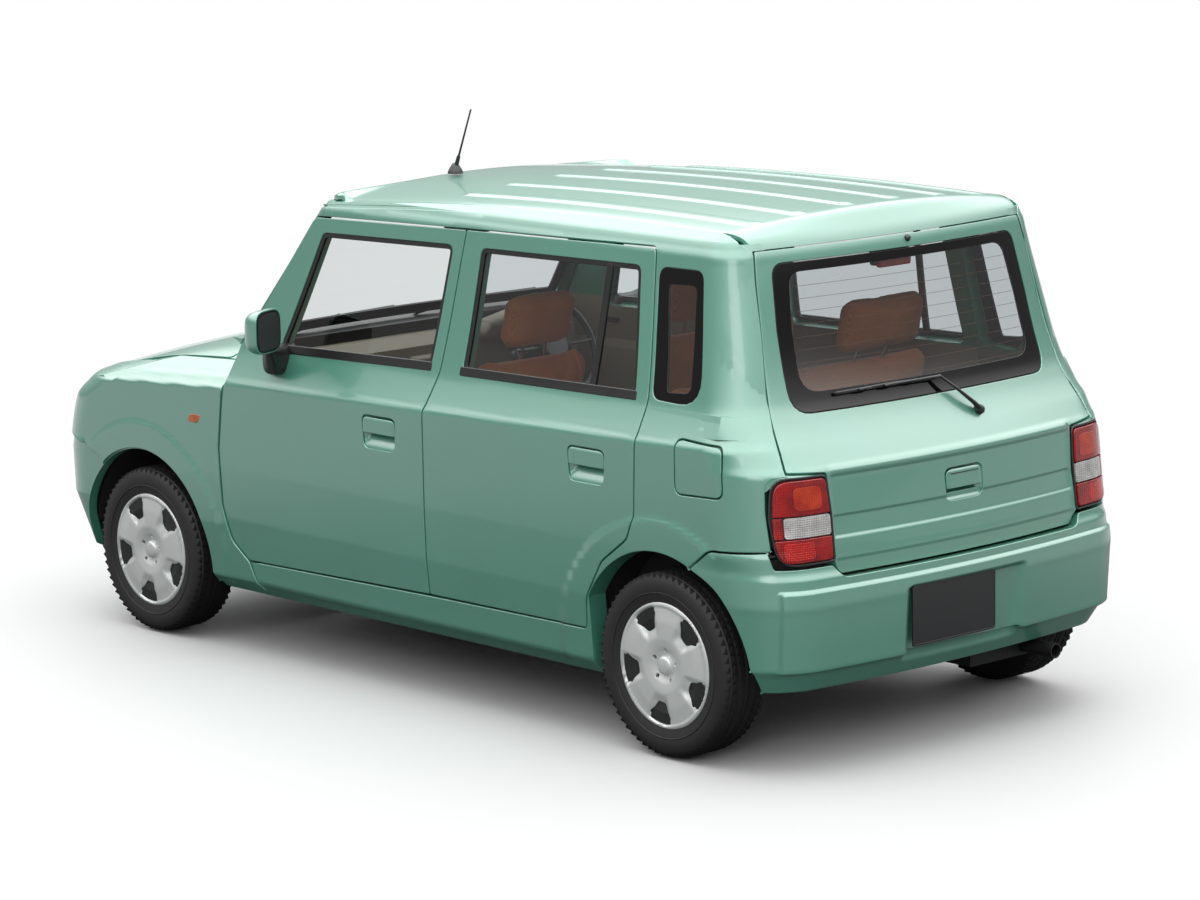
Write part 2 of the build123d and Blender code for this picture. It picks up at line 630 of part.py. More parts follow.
front_arch = arch(FRONT_AXLE, ARCH_RADIUS, WHEELHOUSE_Y, ARCH_RADIUS)
bonnet_plan = [
    (BONNET_REAR - 30.0, -BONNET_SIDE_Y), (BONNET_REAR, 0.0), (BONNET_REAR - 30.0, BONNET_SIDE_Y),
    (1500.0, BONNET_SIDE_Y), (1640.0, 470.0), (1740.0, 0.0), (1640.0, -470.0), (1500.0, -BONNET_SIDE_Y),
]


def plan_prism(points, grow, low, high):
    with BuildPart() as prism:
        with BuildSketch(Plane.XY.offset(low)) as outline:
            with BuildLine():
                Polyline(*points, close=True)
            make_face()
            if grow:
                offset(amount=grow, kind=Kind.INTERSECTION)
        extrude(amount=high - low)
    return prism.part


nose_under_lip = nose(LIP_THICKNESS)
with BuildPart() as bonnet:
    add(nose_skin)
    add(plan_prism(bonnet_plan, -gap, BONNET_FOOT, 1100.0), mode=Mode.INTERSECT)
    add(nose_cavity, mode=Mode.SUBTRACT)
    for side in (-1, 1):
        y = side * BONNET_HINGE_Y
        with BuildPart(mode=Mode.PRIVATE) as bracket_room:
            add(box((BONNET_REAR - 40.0, y + 2.0, BONNET_FOOT), (BONNET_REAR + 60.0, y + 27.0, 1100.0)))
            add(nose_under_lip, mode=Mode.INTERSECT)
        add(bracket_room.part, mode=Mode.SUBTRACT)
        with BuildPart(mode=Mode.PRIVATE) as lug:
            add(box((BONNET_PIVOT[0] - 8.0, y - 7.0, BONNET_PIVOT[1] - 8.0), (BONNET_PIVOT[0] + 8.0, y + 7.0, 930.0)))
            add(nose_under_lip, mode=Mode.INTERSECT)
            add(across(BONNET_PIVOT[0], BONNET_PIVOT[1], PIN_RADIUS + FIT, y - 10.0, y + 10.0), mode=Mode.SUBTRACT)
        add(lug.part)
write(bonnet.part, "bonnet")

bumper_front = side_prism(FRONT_BUMPER_SEAM, 0, 0, 0)
with BuildPart() as fender:
    add(nose_skin)
    add(box((400.0, FENDER_INNER, 0.0), (FAR, FAR, FAR)), mode=Mode.INTERSECT)
    add(nose_cavity, mode=Mode.SUBTRACT)
    add(side_prism(SIDE_OUTLINE, gap), mode=Mode.SUBTRACT)
    add(plan_prism(bonnet_plan, gap, BONNET_FOOT - gap, 1100.0), mode=Mode.SUBTRACT)
    add(bumper_front, mode=Mode.SUBTRACT)
    add(end_prism(HEADLAMP, 1300.0, 900.0, FIT), mode=Mode.SUBTRACT)
    add(end_prism(GRILLE, 1400.0, 900.0, FIT), mode=Mode.SUBTRACT)
    add(front_arch, mode=Mode.SUBTRACT)
    add(glasshouse(-PANEL_GAP), mode=Mode.SUBTRACT)
    post_end = A_POST_X + POST_WIDTH / 2 + PANEL_GAP
    add(box((0.0, 0.0, BELT_FOOT), (post_end, HALF_WIDTH - SWING_ROOM + PANEL_GAP, FAR)), mode=Mode.SUBTRACT)
    add(box((1450.0, 0.0, 0.0), (FAR, 600.0, FAR)), mode=Mode.SUBTRACT)
write_both(fender.part, "front_fenders")

with BuildPart() as headlamp:
    add(nose_skin)
    add(end_prism(HEADLAMP, 1300.0, 900.0), mode=Mode.INTERSECT)
    add(bumper_front, mode=Mode.SUBTRACT)
    add(plan_prism(bonnet_plan, gap, BONNET_FOOT - gap, 1100.0), mode=Mode.SUBTRACT)
    add(nose(DOOR_THICKNESS), mode=Mode.SUBTRACT)
write_both(headlamp.part, "headlamps")

with BuildPart() as grille:
    add(nose_skin)
    add(end_prism(both_sides(GRILLE[:2]), 1500.0, 900.0), mode=Mode.INTERSECT)
    add(nose_cavity, mode=Mode.SUBTRACT)
write(grille.part, "grille")

with BuildPart() as front_bumper:
    add(nose_skin)
    add(box((1200.0, -FAR, 0.0), (FAR, FAR, FAR)), mode=Mode.INTERSECT)
    with BuildPart(mode=Mode.PRIVATE) as zone:
        add(side_prism(FRONT_BUMPER_SEAM, -FIT, 0, 0))
        add(mirrored(zone.part))
        add(box((1400.0, -FENDER_INNER + FIT, 500.0), (FAR, FENDER_INNER - FIT, BONNET_FOOT - PANEL_GAP)))
    add(zone.part, mode=Mode.INTERSECT)
    add(nose_cavity, mode=Mode.SUBTRACT)
    add(end_prism(HEADLAMP, 1300.0, 900.0, FIT), mode=Mode.SUBTRACT)
    add(end_prism([(-y, z) for y, z in HEADLAMP], 1300.0, 900.0, FIT), mode=Mode.SUBTRACT)
    add(end_prism(both_sides(GRILLE[:2]), 1500.0, 900.0, FIT), mode=Mode.SUBTRACT)
    for side in (front_arch, mirrored(front_arch)):
        add(side, mode=Mode.SUBTRACT)
write(front_bumper.part, "front_bumper")

# ---- fuel flap, on the left side only -----------------------------------------------------------
with BuildPart() as flap:
    add(skin)
    add(side_prism(FUEL_FLAP, -gap, 16.0, HALF_WIDTH - 2 * DOOR_THICKNESS), mode=Mode.INTERSECT)
    add(cabin(FLAP_THICKNESS, FLAP_THICKNESS), mode=Mode.SUBTRACT)
    flap_y = HALF_WIDTH - HINGE_INSET
    slot_low = (FLAP_HINGE_X - FLAP_EYE_RADIUS - PANEL_GAP, flap_y - FLAP_DEPTH, FLAP_HINGE_Z - POCKET_HEIGHT / 2)
    slot_high = (FLAP_HINGE_X + FLAP_DEPTH, flap_y + FLAP_EYE_RADIUS + 1.0, FLAP_HINGE_Z + POCKET_HEIGHT / 2)
    add(box(slot_low, slot_high), mode=Mode.SUBTRACT)
    add(upright(FLAP_HINGE_X, flap_y, FLAP_PIN_RADIUS, FLAP_HINGE_Z - POCKET_HEIGHT / 2, FLAP_HINGE_Z + POCKET_HEIGHT / 2))
write(flap.part, "fuel_flap")

# ---- floor, bulkhead and wheelhouses ------------------------------------------------------------
floor_half = HALF_WIDTH - SILL_DEPTH - FIT
# Columns: x, height of the floor's top.
floor_line = [(FIREWALL + 20.0, 900.0), (FIREWALL + 20.0, FLOOR_TOP - FLOOR_THICKNESS), (-780.0, FLOOR_TOP - FLOOR_THICKNESS),
              (-860.0, LUGGAGE_FLOOR - FLOOR_THICKNESS), (-1610.0, LUGGAGE_FLOOR - FLOOR_THICKNESS), (-1610.0, 536.0),
              (-1590.0, 536.0), (-1590.0, LUGGAGE_FLOOR), (-850.0, LUGGAGE_FLOOR), (-770.0, FLOOR_TOP),
              (FIREWALL, FLOOR_TOP), (FIREWALL, 900.0)]
with BuildPart() as floor_pan:
    with BuildSketch(Plane.XZ):
        with BuildLine():
            Polyline(*floor_line, close=True)
        make_face()
    extrude(amount=floor_half, both=True)
    for side in (-1, 1):
        house_low = min(side * REAR_HOUSE_Y, side * FAR)
        house_high = max(side * REAR_HOUSE_Y, side * FAR)
        add(box((-FAR, house_low, 0), (REAR_AXLE + HOUSE_RADIUS, house_high, FAR)), mode=Mode.SUBTRACT)
        front_low = min(side * 585.0, side * FAR)
        front_high = max(side * 585.0, side * FAR)
        add(box((600.0, front_low, 0), (FAR, front_high, 580.0)), mode=Mode.SUBTRACT)
        add(box((600.0, front_low, 580.0), (FAR, front_high, FAR)), mode=Mode.SUBTRACT)
write(floor_pan.part, "floor_pan")

bracket_x = FIREWALL + FLOOR_THICKNESS + FIT
arm_foot = BONNET_PIVOT[1] - BRACKET_DROP
cowl_front = [(820.0, -585.0), (850.0, 0.0), (820.0, 585.0)]
with BuildPart() as cowl:
    add(plan_prism([(700.0, 585.0), (700.0, -585.0)] + cowl_front, 0, COWL_FOOT, COWL_TOP))
    add(box((FIREWALL, -585.0, 900.0 + FIT), (FIREWALL + FLOOR_THICKNESS, 585.0, COWL_FOOT + 1.0)))
    for side in (-1, 1):
        y = side * BONNET_HINGE_Y
        add(box((bracket_x, y + 8.0, arm_foot), (bracket_x + 14.0, y + 20.0, COWL_FOOT + 1.0)))
        add(box((bracket_x, y + 8.0, arm_foot), (BONNET_PIVOT[0] + 8.0, y + 20.0, arm_foot + 14.0)))
        add(box((BONNET_PIVOT[0] - 8.0, y + 8.0, arm_foot), (BONNET_PIVOT[0] + 8.0, y + 20.0, BONNET_PIVOT[1] + 8.0)))
        add(across(BONNET_PIVOT[0], BONNET_PIVOT[1], PIN_RADIUS, y - 8.0, y + 10.0))
write(cowl.part, "cowl")


def wheelhouse(axle_x, inner_y, outer_y):
    """A half-drum over a wheel, closed on its inner side."""
    with BuildPart() as house:
        add(across(axle_x, WHEEL_RADIUS, HOUSE_RADIUS, inner_y - HOUSE_WALL, outer_y))
        add(across(axle_x, WHEEL_RADIUS, HOUSE_RADIUS - HOUSE_WALL, inner_y, outer_y), mode=Mode.SUBTRACT)
        add(box((axle_x - FAR, 0, -FAR), (axle_x + FAR, FAR, HOUSE_FOOT)), mode=Mode.SUBTRACT)
    return house.part


with BuildPart() as front_house:
    add(wheelhouse(FRONT_AXLE, WHEELHOUSE_Y, HALF_WIDTH - 2 * FENDER_THICKNESS))
    add(nose_cavity, mode=Mode.INTERSECT)
write_both(front_house.part, "front_wheelhouses")
with BuildPart() as rear_house:
    add(wheelhouse(REAR_AXLE, REAR_HOUSE_Y + HOUSE_WALL + FIT, HALF_WIDTH - DOOR_THICKNESS - FIT))
    add(cavity, mode=Mode.INTERSECT)
write_both(rear_house.part, "rear_wheelhouses")

# ---- front frame, suspension and steering -------------------------------------------------------
rail_y = WHEELHOUSE_Y - HOUSE_WALL - FIT
with BuildPart() as front_frame:
    for side in (-1, 1):
        low = min(side * rail_y, side * (rail_y - RAIL_WIDTH))
        add(box((FIREWALL + 20.0 + FIT, low, 300.0), (1560.0, low + RAIL_WIDTH, 380.0)))
    add(box((1530.0, -rail_y, 300.0), (1560.0, rail_y, 380.0)))
    add(box((1100.0, -rail_y, 180.0), (1240.0, rail_y, 210.0)))
    for side in (-1, 1):
        low = min(side * rail_y, side * (rail_y - RAIL_WIDTH))
        add(box((1100.0, low, 180.0), (1240.0, low + RAIL_WIDTH, 300.0)))
        arm_low = min(side * (rail_y - RAIL_WIDTH), side * (KINGPIN_Y + KNUCKLE_RADIUS))
        arm_high = max(side * (rail_y - RAIL_WIDTH), side * (KINGPIN_Y + KNUCKLE_RADIUS))
        add(box((FRONT_AXLE - ARM_HALF, arm_low, LOWER_ARM_Z - ARM_HALF), (FRONT_AXLE + ARM_HALF, arm_high, LOWER_ARM_Z + ARM_HALF)))
        add(upright(FRONT_AXLE, side * KINGPIN_Y, KINGPIN_RADIUS + FIT, 0, FAR), mode=Mode.SUBTRACT)
    add(box((1490.0, 250.0, 255.0), (1560.0, 262.0, 305.0)))
    add(across(1525.0, 278.0, 14.0, 240.0, 270.0), mode=Mode.SUBTRACT)
write(front_frame.part, "front_frame")

with BuildPart() as strut:
    add(box((FRONT_AXLE - ARM_HALF, STRUT_Y - STRUT_RADIUS, UPPER_ARM_Z - ARM_HALF),
            (FRONT_AXLE + ARM_HALF, KINGPIN_Y + KNUCKLE_RADIUS, UPPER_ARM_Z + ARM_HALF)))
    add(upright(FRONT_AXLE, STRUT_Y, STRUT_RADIUS, UPPER_ARM_Z - ARM_HALF, WHEEL_RADIUS + HOUSE_RADIUS - HOUSE_WALL - 1.0))
    add(upright(FRONT_AXLE, KINGPIN_Y, KINGPIN_RADIUS + FIT, 0, FAR), mode=Mode.SUBTRACT)
write_both(strut.part, "front_struts")

with BuildPart() as knuckle:
    add(upright(FRONT_AXLE, KINGPIN_Y, KINGPIN_RADIUS, LOWER_ARM_Z - ARM_HALF, UPPER_ARM_Z + ARM_HALF))
    add(upright(FRONT_AXLE, KINGPIN_Y, KNUCKLE_RADIUS, LOWER_ARM_Z + ARM_HALF + 1.0, UPPER_ARM_Z - ARM_HALF - 1.0))
    add(across(FRONT_AXLE, WHEEL_RADIUS, STUB_RADIUS, KINGPIN_Y, HUB_FACE_Y))
write_pair(knuckle.part, "knuckle")

with BuildPart() as rear_axle:
    add(across(REAR_AXLE, WHEEL_RADIUS, BEAM_RADIUS, -REAR_HUB_Y, REAR_HUB_Y))
    add(across(REAR_AXLE, WHEEL_RADIUS, STUB_RADIUS, -HUB_FACE_Y, HUB_FACE_Y))
    for side in (-1, 1):
        middle = side * SPRING_Y
        add(box((REAR_AXLE, middle - 22.0, WHEEL_RADIUS - 25.0), (-845.0, middle + 22.0, WHEEL_RADIUS + 25.0)))
        add(box((-860.0, middle - 22.0, WHEEL_RADIUS - 25.0), (-845.0, middle + 22.0, 351.5)))
        add(upright(REAR_AXLE, middle, 40.0, WHEEL_RADIUS, LUGGAGE_FLOOR - FLOOR_THICKNESS - FIT))
write(rear_axle.part, "rear_axle")

# ---- wheels -------------------------------------------------------------------------------------
RIM_RADIUS = RIM_DIAMETER / 2
AXLES = [("front", FRONT_AXLE), ("rear", REAR_AXLE)]


def spin(profile, axle_x):
    """A profile of (distance from the wheel's middle plane, radius) points, turned about the axle."""
    with BuildPart() as solid:
        with BuildSketch(Plane(origin=(axle_x, WHEEL_Y, WHEEL_RADIUS), x_dir=(0, 1, 0), z_dir=(1, 0, 0))) as outline:
            with BuildLine():
                Polyline(*profile, close=True)
            make_face()
        revolve(axis=Axis((axle_x, 0, WHEEL_RADIUS), (0, 1, 0)))
    return solid.part


half_tyre = TYRE_WIDTH / 2
tyre_profile = [
    (-half_tyre + 16.0, RIM_RADIUS + FIT), (-half_tyre, RIM_RADIUS + 30.0), (-half_tyre, WHEEL_RADIUS - 34.0),
    (-half_tyre + 22.0, WHEEL_RADIUS - 4.0), (-half_tyre + 34.0, WHEEL_RADIUS), (half_tyre - 34.0, WHEEL_RADIUS),
    (half_tyre - 22.0, WHEEL_RADIUS - 4.0), (half_tyre, WHEEL_RADIUS - 34.0), (half_tyre, RIM_RADIUS + 30.0),
    (half_tyre - 16.0, RIM_RADIUS + FIT),
]
disc_y = HUB_FACE_Y - WHEEL_Y
wheel_profile = [
    (-half_tyre + 10.0, RIM_RADIUS), (half_tyre - 10.0, RIM_RADIUS), (half_tyre - 10.0, RIM_RADIUS - 30.0),
    (disc_y + 24.0, 70.0), (disc_y + 24.0, 0.0), (disc_y + FIT, 0.0), (disc_y + FIT, 70.0),
    (disc_y + 8.0, RIM_RADIUS - 10.0), (-half_tyre + 10.0, RIM_RADIUS - 10.0),
]
for place, axle_x in AXLES:
    tyre = spin(tyre_profile, axle_x)
    wheel = spin(wheel_profile, axle_x)
    for side, shape in (("left", lambda p: p), ("right", mirrored)):
        write(shape(tyre), f"{place}_tyre_{side}")
        write(shape(wheel), f"{place}_wheel_{side}")

# ---- engine, exhaust and tank -------------------------------------------------------------------
with BuildPart() as engine:
    add(box((930.0, -280.0, 240.0), (1400.0, 300.0, 690.0)))
    inner_rail = rail_y - RAIL_WIDTH - FIT
    add(box((1120.0, -inner_rail, 310.0), (1220.0, inner_rail, 370.0)))
write(engine.part, "engine_block")

with BuildPart() as exhaust:
    with BuildLine() as route:
        Polyline((900.0, -120.0, 205.0), (-700.0, -120.0, 205.0), (-760.0, -120.0, 190.0), (-1380.0, -300.0, 190.0))
    with BuildSketch(Plane(origin=(900.0, -120.0, 205.0), z_dir=(-1, 0, 0))):
        Circle(20.0)
    sweep(transition=Transition.RIGHT)
    add(box((-1540.0, -420.0, 170.0), (-1370.0, -150.0, LUGGAGE_FLOOR - FLOOR_THICKNESS - FIT)))
    with BuildSketch(Plane.YZ.offset(-1540.0)):
        with Locations((-380.0, 198.0)):
            Circle(22.0)
    extrude(amount=-120.0)
    with BuildSketch(Plane.YZ.offset(-1660.0)):
        with Locations((-380.0, 198.0)):
            Circle(18.0)
    extrude(amount=60.0, mode=Mode.SUBTRACT)
write(exhaust.part, "exhaust")

with BuildPart() as tank:
    add(box((-740.0, -60.0, 140.0), (-380.0, 420.0, FLOOR_TOP - FLOOR_THICKNESS - FIT)))
write(tank.part, "fuel_tank")

# ---- cabin fittings -----------------------------------------------------------------------------
with BuildPart() as dashboard:
    with BuildSketch(Plane.XZ):
        with BuildLine():
            Polyline((FIREWALL - FIT, 640.0), (620.0, 640.0), (560.0, 760.0), (590.0, 900.0), (660.0, 925.0), (FIREWALL - 25.0, 925.0),
                     (FIREWALL - 25.0, 890.0), (FIREWALL - FIT, 890.0), close=True)
        make_face()
    extrude(amount=580.0, both=True)
    with BuildSketch(Plane(origin=(WHEEL_HUB_X, HELM_Y, WHEEL_HUB_Z), z_dir=(math.cos(HELM_TILT), 0, -math.sin(HELM_TILT)))):
        Circle(24.0 + FIT)
    extrude(amount=210.0, mode=Mode.SUBTRACT)
write(dashboard.part, "dashboard")

with BuildPart() as column:
    with BuildSketch(Plane(origin=(WHEEL_HUB_X, HELM_Y, WHEEL_HUB_Z), z_dir=(math.cos(HELM_TILT), 0, -math.sin(HELM_TILT)))):
        Circle(24.0)
        Circle(12.0 + FIT, mode=Mode.SUBTRACT)
    extrude(amount=200.0)
write(column.part, "steering_column")

helm_plane = Plane(origin=(WHEEL_HUB_X, HELM_Y, WHEEL_HUB_Z), x_dir=(0, 1, 0), z_dir=(-math.cos(HELM_TILT), 0, math.sin(HELM_TILT)))
with BuildPart() as helm:
    with BuildSketch(helm_plane.offset(10.0)):
        Circle(HELM_RADIUS)
        Circle(HELM_RADIUS - 26.0, mode=Mode.SUBTRACT)
    extrude(amount=24.0)
    with BuildSketch(helm_plane.offset(10.0)):
        Circle(60.0)
        Rectangle(2 * HELM_RADIUS - 20.0, 34.0)
    extrude(amount=20.0)
    with BuildSketch(helm_plane.offset(-40.0)):
        Circle(12.0)
    extrude(amount=60.0)
write(helm.part, "steering_wheel")

with BuildPart() as front_seats:
    for y in (-330.0, 330.0):
        add(box((-150.0, y - 180.0, FLOOR_TOP + FIT), (300.0, y + 180.0, 380.0)))
        add(box((-170.0, y - 240.0, 380.0), (350.0, y + 240.0, 520.0)))
        with BuildSketch(Plane.XZ.offset(-y)):
            with BuildLine():
                Polyline((-170.0, 400.0), (-50.0, 520.0), (-190.0, 1010.0), (-290.0, 1000.0), (-200.0, 400.0), close=True)
            make_face()
        extrude(amount=235.0, both=True)
        with BuildSketch(Plane.XZ.offset(-y)):
            with BuildLine():
                Polyline((-205.0, 1030.0), (-235.0, 1180.0), (-330.0, 1170.0), (-300.0, 1030.0), close=True)
            make_face()
        extrude(amount=120.0, both=True)
        add(box((-255.0, y - 60.0, 980.0), (-245.0, y + 60.0, 1060.0)))
write(front_seats.part, "front_seats")

with BuildPart() as rear_seat:
    add(box((-860.0, -530.0, LUGGAGE_FLOOR + FIT), (-520.0, 530.0, 540.0)))
    add(box((-760.0, -530.0, FLOOR_TOP + FIT), (-520.0, 530.0, LUGGAGE_FLOOR + FIT)))
    with BuildSketch(Plane.XZ):
        with BuildLine():
            Polyline((-870.0, 420.0), (-830.0, 540.0), (-960.0, 980.0), (-1050.0, 970.0), (-980.0, 420.0), close=True)
        make_face()
    extrude(amount=530.0, both=True)
write(rear_seat.part, "rear_seat")

# ---- outside fittings ---------------------------------------------------------------------------
with BuildPart() as mirror_head:
    add(box((330.0, 742.0, 985.0), (480.0, 900.0, 1118.0)))
    fillet(mirror_head.edges(), 28.0)
    add(box((440.0, 640.0, 905.0), (545.0, 790.0, 1010.0)))
    add(cabin(-FIT, -FIT), mode=Mode.SUBTRACT)
write_pair(mirror_head.part, "door_mirror")

with BuildPart() as antenna:
    with BuildSketch(Plane.XY.offset(1467.0)):
        with Locations((290.0, 165.0)):
            Circle(18.0)
    extrude(amount=25.0)
    with BuildSketch(Plane(origin=(290.0, 165.0, 1485.0), z_dir=(-83.0, 0, 201.0))):
        Circle(4.0)
    extrude(amount=205.0)
    add(skin, mode=Mode.SUBTRACT)
write(antenna.part, "antenna")

with BuildPart() as plate:
    with BuildSketch(Plane.YZ.offset(PLATE_X)):
        with Locations((PLATE_Y, PLATE_Z)):
            RectangleRounded(330.0, 165.0, 8.0)
        with Locations((PLATE_Y - PLATE_BOLTS / 2, PLATE_Z + 65.0), (PLATE_Y + PLATE_BOLTS / 2, PLATE_Z + 65.0)):
            Circle(PLATE_BOLT_RADIUS, mode=Mode.SUBTRACT)
    extrude(amount=PLATE_THICKNESS - FIT)
write(plate.part, "licence_plate")
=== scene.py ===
"""A five-door kei car: skins, glass, trim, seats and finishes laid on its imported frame.

Tables are in millimetres, in the frame's axes: +X to the nose, +Y to the left side, +Z up. A body
surface is unrolled as (u, z): u runs from the middle of the rear end, round the corner and along
the side, and z is the height. Side outlines are (x, z) points and rear outlines (y, z) points.
"""
import math

import bpy
import numpy as np
from mathutils import Matrix, Vector
from mathutils.geometry import delaunay_2d_cdt


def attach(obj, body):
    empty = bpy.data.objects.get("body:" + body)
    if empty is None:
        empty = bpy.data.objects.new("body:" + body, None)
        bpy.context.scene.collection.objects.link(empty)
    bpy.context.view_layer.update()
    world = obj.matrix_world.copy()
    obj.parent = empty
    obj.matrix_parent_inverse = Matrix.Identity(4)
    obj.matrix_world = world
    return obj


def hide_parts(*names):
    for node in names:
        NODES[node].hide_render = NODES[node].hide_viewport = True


bl_info = {
    "name": "Kei car",
    "version": (1, 0, 0),
    "blender": (4, 5, 0),
    "location": "View3D > Sidebar > Kei car",
    "description": "Dresses the frame of a small five-door car with panels, glass, trim and finishes",
    "category": "Object",
}

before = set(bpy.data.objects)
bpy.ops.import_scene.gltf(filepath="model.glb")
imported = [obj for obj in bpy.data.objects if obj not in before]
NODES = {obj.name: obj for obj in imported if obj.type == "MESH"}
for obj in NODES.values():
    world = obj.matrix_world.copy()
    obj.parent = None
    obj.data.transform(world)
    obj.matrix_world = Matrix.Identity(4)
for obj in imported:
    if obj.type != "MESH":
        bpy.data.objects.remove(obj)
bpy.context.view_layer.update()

# ---- driving dimensions -------------------------------------------------------------------------
HALF_LENGTH = 1697.5
HALF_WIDTH = 737.5
FRONT_AXLE = 1167.5
REAR_AXLE = -1192.5
AXLE_HEIGHT = 266
WHEEL_Y = 647.5
# Radii of the openings over the wheels.
REAR_ARCH = 322
FRONT_ARCH = 326
SIDE_BAND = (589, 1400)  # heights between which the side's crease bends its inset
NOSE_FOOT = 550  # height below which the nose's crease has no part
# Wheel flares: how far they stand out, where they end about an axle, how softly, and their rear end.
FLARE_OUT, FLARE_RADIUS, FLARE_EDGE, FLARE_END = 5, 424, 20, -1452

# ---- body surfaces ------------------------------------------------------------------------------
# Inset from the full half width against height, with the crease at SIDE_CREASE.
SIDE_INSET = [
    (190, 70), (240, 24), (430, 4), (589, 0), (863, 0), (941, 34),
    (985, 50), (1400, 124), (1440, 144), (1470, 190), (1520, 300),
]
NOSE_INSET = [
    (190, 70), (240, 24), (408, 4), (550, 0), (812, 0), (846, 36),
    (872, 106), (902, 186), (942, 330),
]
# Columns: x where the crease's height is given, that height, downward slope to the front.
SIDE_CREASE = (-207, 863, math.tan(math.radians(1.3)))
NOSE_CREASE = (1030, 812, math.tan(math.radians(3.2)))
# Inset of the rear face from the rear end, its corner radius and its bow, against height.
REAR_INSET = [
    (190, 120), (240, 80), (430, 34), (589, 30), (828, 57), (985, 168),
    (1400, 278), (1440, 296), (1470, 325), (1520, 400),
]
REAR_RADIUS = [
    (190, 170), (430, 200), (840, 200), (985, 150), (1400, 110),
    (1440, 90), (1470, 70), (1520, 50),
]
REAR_BOW = [(190, 40), (985, 40), (1400, 38), (1520, 38)]
# The same for the windscreen's end of the cabin.
SCREEN_INSET = [
    (880, 825), (985, 912), (1400, 1228), (1440, 1262), (1470, 1310),
    (1520, 1420),
]
SCREEN_RADIUS = [(880, 60), (985, 60), (1400, 50), (1520, 40)]
SCREEN_BOW = [(880, 55), (1520, 55)]
# The rear bumper and the nose.
TAIL_SIDE = [(224, 44), (300, 10), (480, 0), (640, 0)]
TAIL_INSET = [(224, 60), (300, 12), (480, 0), (548, 4), (640, 46)]
TAIL_RADIUS = [(224, 180), (300, 200), (548, 205), (640, 200)]
TAIL_BOW = [(224, 30), (640, 40)]
NOSE_FRONT = [
    (190, 170), (240, 75), (408, 4), (550, 0), (716, 10), (785, 24),
    (850, 90), (1000, 260),
]
NOSE_RADIUS = [(190, 170), (550, 185), (716, 200), (785, 240), (850, 270), (1000, 300)]
NOSE_BOW = [(190, 35), (550, 35), (716, 55), (785, 90), (850, 120), (1000, 140)]
# Crowned tops. Columns: apex x, apex height, radius along the car, radius across it.
ROOF_CROWN = (-800, 1505, 17000, 4200)
BONNET_CROWN = (522, 972, 3600, 4200)

# ---- outlines -----------------------------------------------------------------------------------
B_LINE = [(-204, 322), (-204, 863), (-234, 985), (-281, 1394)]
FRONT_DOOR = [
    (652, 302), (725, 358), (760, 465), (768, 643), (748, 790), (704, 966),
    (412, 1376),
] + B_LINE[::-1]
REAR_DOOR = B_LINE + [
    (-1076, 1410), (-1115, 1001), (-1107, 875), (-1100, 673), (-1075, 609),
    (-969, 533), (-900, 420), (-890, 328),
]
FRONT_WINDOW = [(514, 968), (366, 1332), (-232, 1346), (-190, 989)]
REAR_WINDOW = [(-330, 989), (-354, 1347), (-1023, 1357), (-1062, 1001)]
QUARTER_WINDOW = [
    (-1130, 1003, 34), (-1096, 1360, 34), (-1271, 1362, 34), (-1322, 998, 74),
]
WINDSCREEN = [(628, 972), (556, 1424)]
DRIP_Y = 560  # first guess of the roof's half width


def crown_height(crown, x, y):
    """Height of a crowned top above the floor."""
    apex_x, apex_z, along, across = crown
    return apex_z - (x - apex_x) ** 2 / (2 * along) - y**2 / (2 * across)


class Curve:
    """A smooth line through the points of a table, straight beyond its ends."""

    def __init__(self, points):
        self.x, self.y = (np.array(column, float) for column in zip(*points))
        step = np.diff(self.x)
        rise = np.diff(self.y) / step
        slope = np.zeros(len(self.x))
        slope[0], slope[-1] = rise[0], rise[-1]
        for i in range(1, len(rise)):
            if rise[i - 1] * rise[i] > 0:
                before, after = 2 * step[i] + step[i - 1], step[i] + 2 * step[i - 1]
                slope[i] = (before + after) / (before / rise[i - 1] + after / rise[i])
        self.step, self.slope = step, slope

    def __call__(self, at):
        at = np.asarray(at, float)
        i = np.clip(np.searchsorted(self.x, at) - 1, 0, len(self.step) - 1)
        t = (at - self.x[i]) / self.step[i]
        held = np.clip(t, 0, 1)
        square, cube = held**2, held**3
        inner = (
            (2 * cube - 3 * square + 1) * self.y[i]
            + (cube - 2 * square + held) * self.step[i] * self.slope[i]
            + (3 * square - 2 * cube) * self.y[i + 1]
            + (cube - square) * self.step[i] * self.slope[i + 1]
        )
        end_slope = np.where(t < 0, self.slope[0], self.slope[-1])
        return inner + (t - held) * self.step[i] * end_slope


def eased(points, reach):
    """A table whose kinks are rounded: hollow ones lose their point, and both get points beside it."""
    made = [points[0]]
    for (x0, y0), (x1, y1), (x2, y2) in zip(points, points[1:], points[2:]):
        before, after = (y1 - y0) / (x1 - x0), (y2 - y1) / (x2 - x1)
        if abs(after - before) < 0.02:
            made.append((x1, y1))
            continue
        back, ahead = min(reach, 0.45 * (x1 - x0)), min(reach, 0.45 * (x2 - x1))
        made.append((x1 - back, y1 - back * before))
        if after > before:
            made.append((x1, y1))
        made.append((x1 + ahead, y1 + ahead * after))
    made.append(points[-1])
    return Curve(made)


def ramp(t):
    """Smooth rise from 0 to 1."""
    t = np.clip(t, 0, 1)
    return t * t * (3 - 2 * t)


side_inset = eased(SIDE_INSET, 26)
nose_inset = eased(NOSE_INSET, 14)


def flare(x, z):
    """How far the wheel flares stand out of the body side."""
    front = np.hypot(x - FRONT_AXLE, z - AXLE_HEIGHT)
    rear = np.hypot(x - REAR_AXLE, z - AXLE_HEIGHT)
    return FLARE_OUT * ramp((FLARE_RADIUS - np.minimum(front, rear)) / FLARE_EDGE)


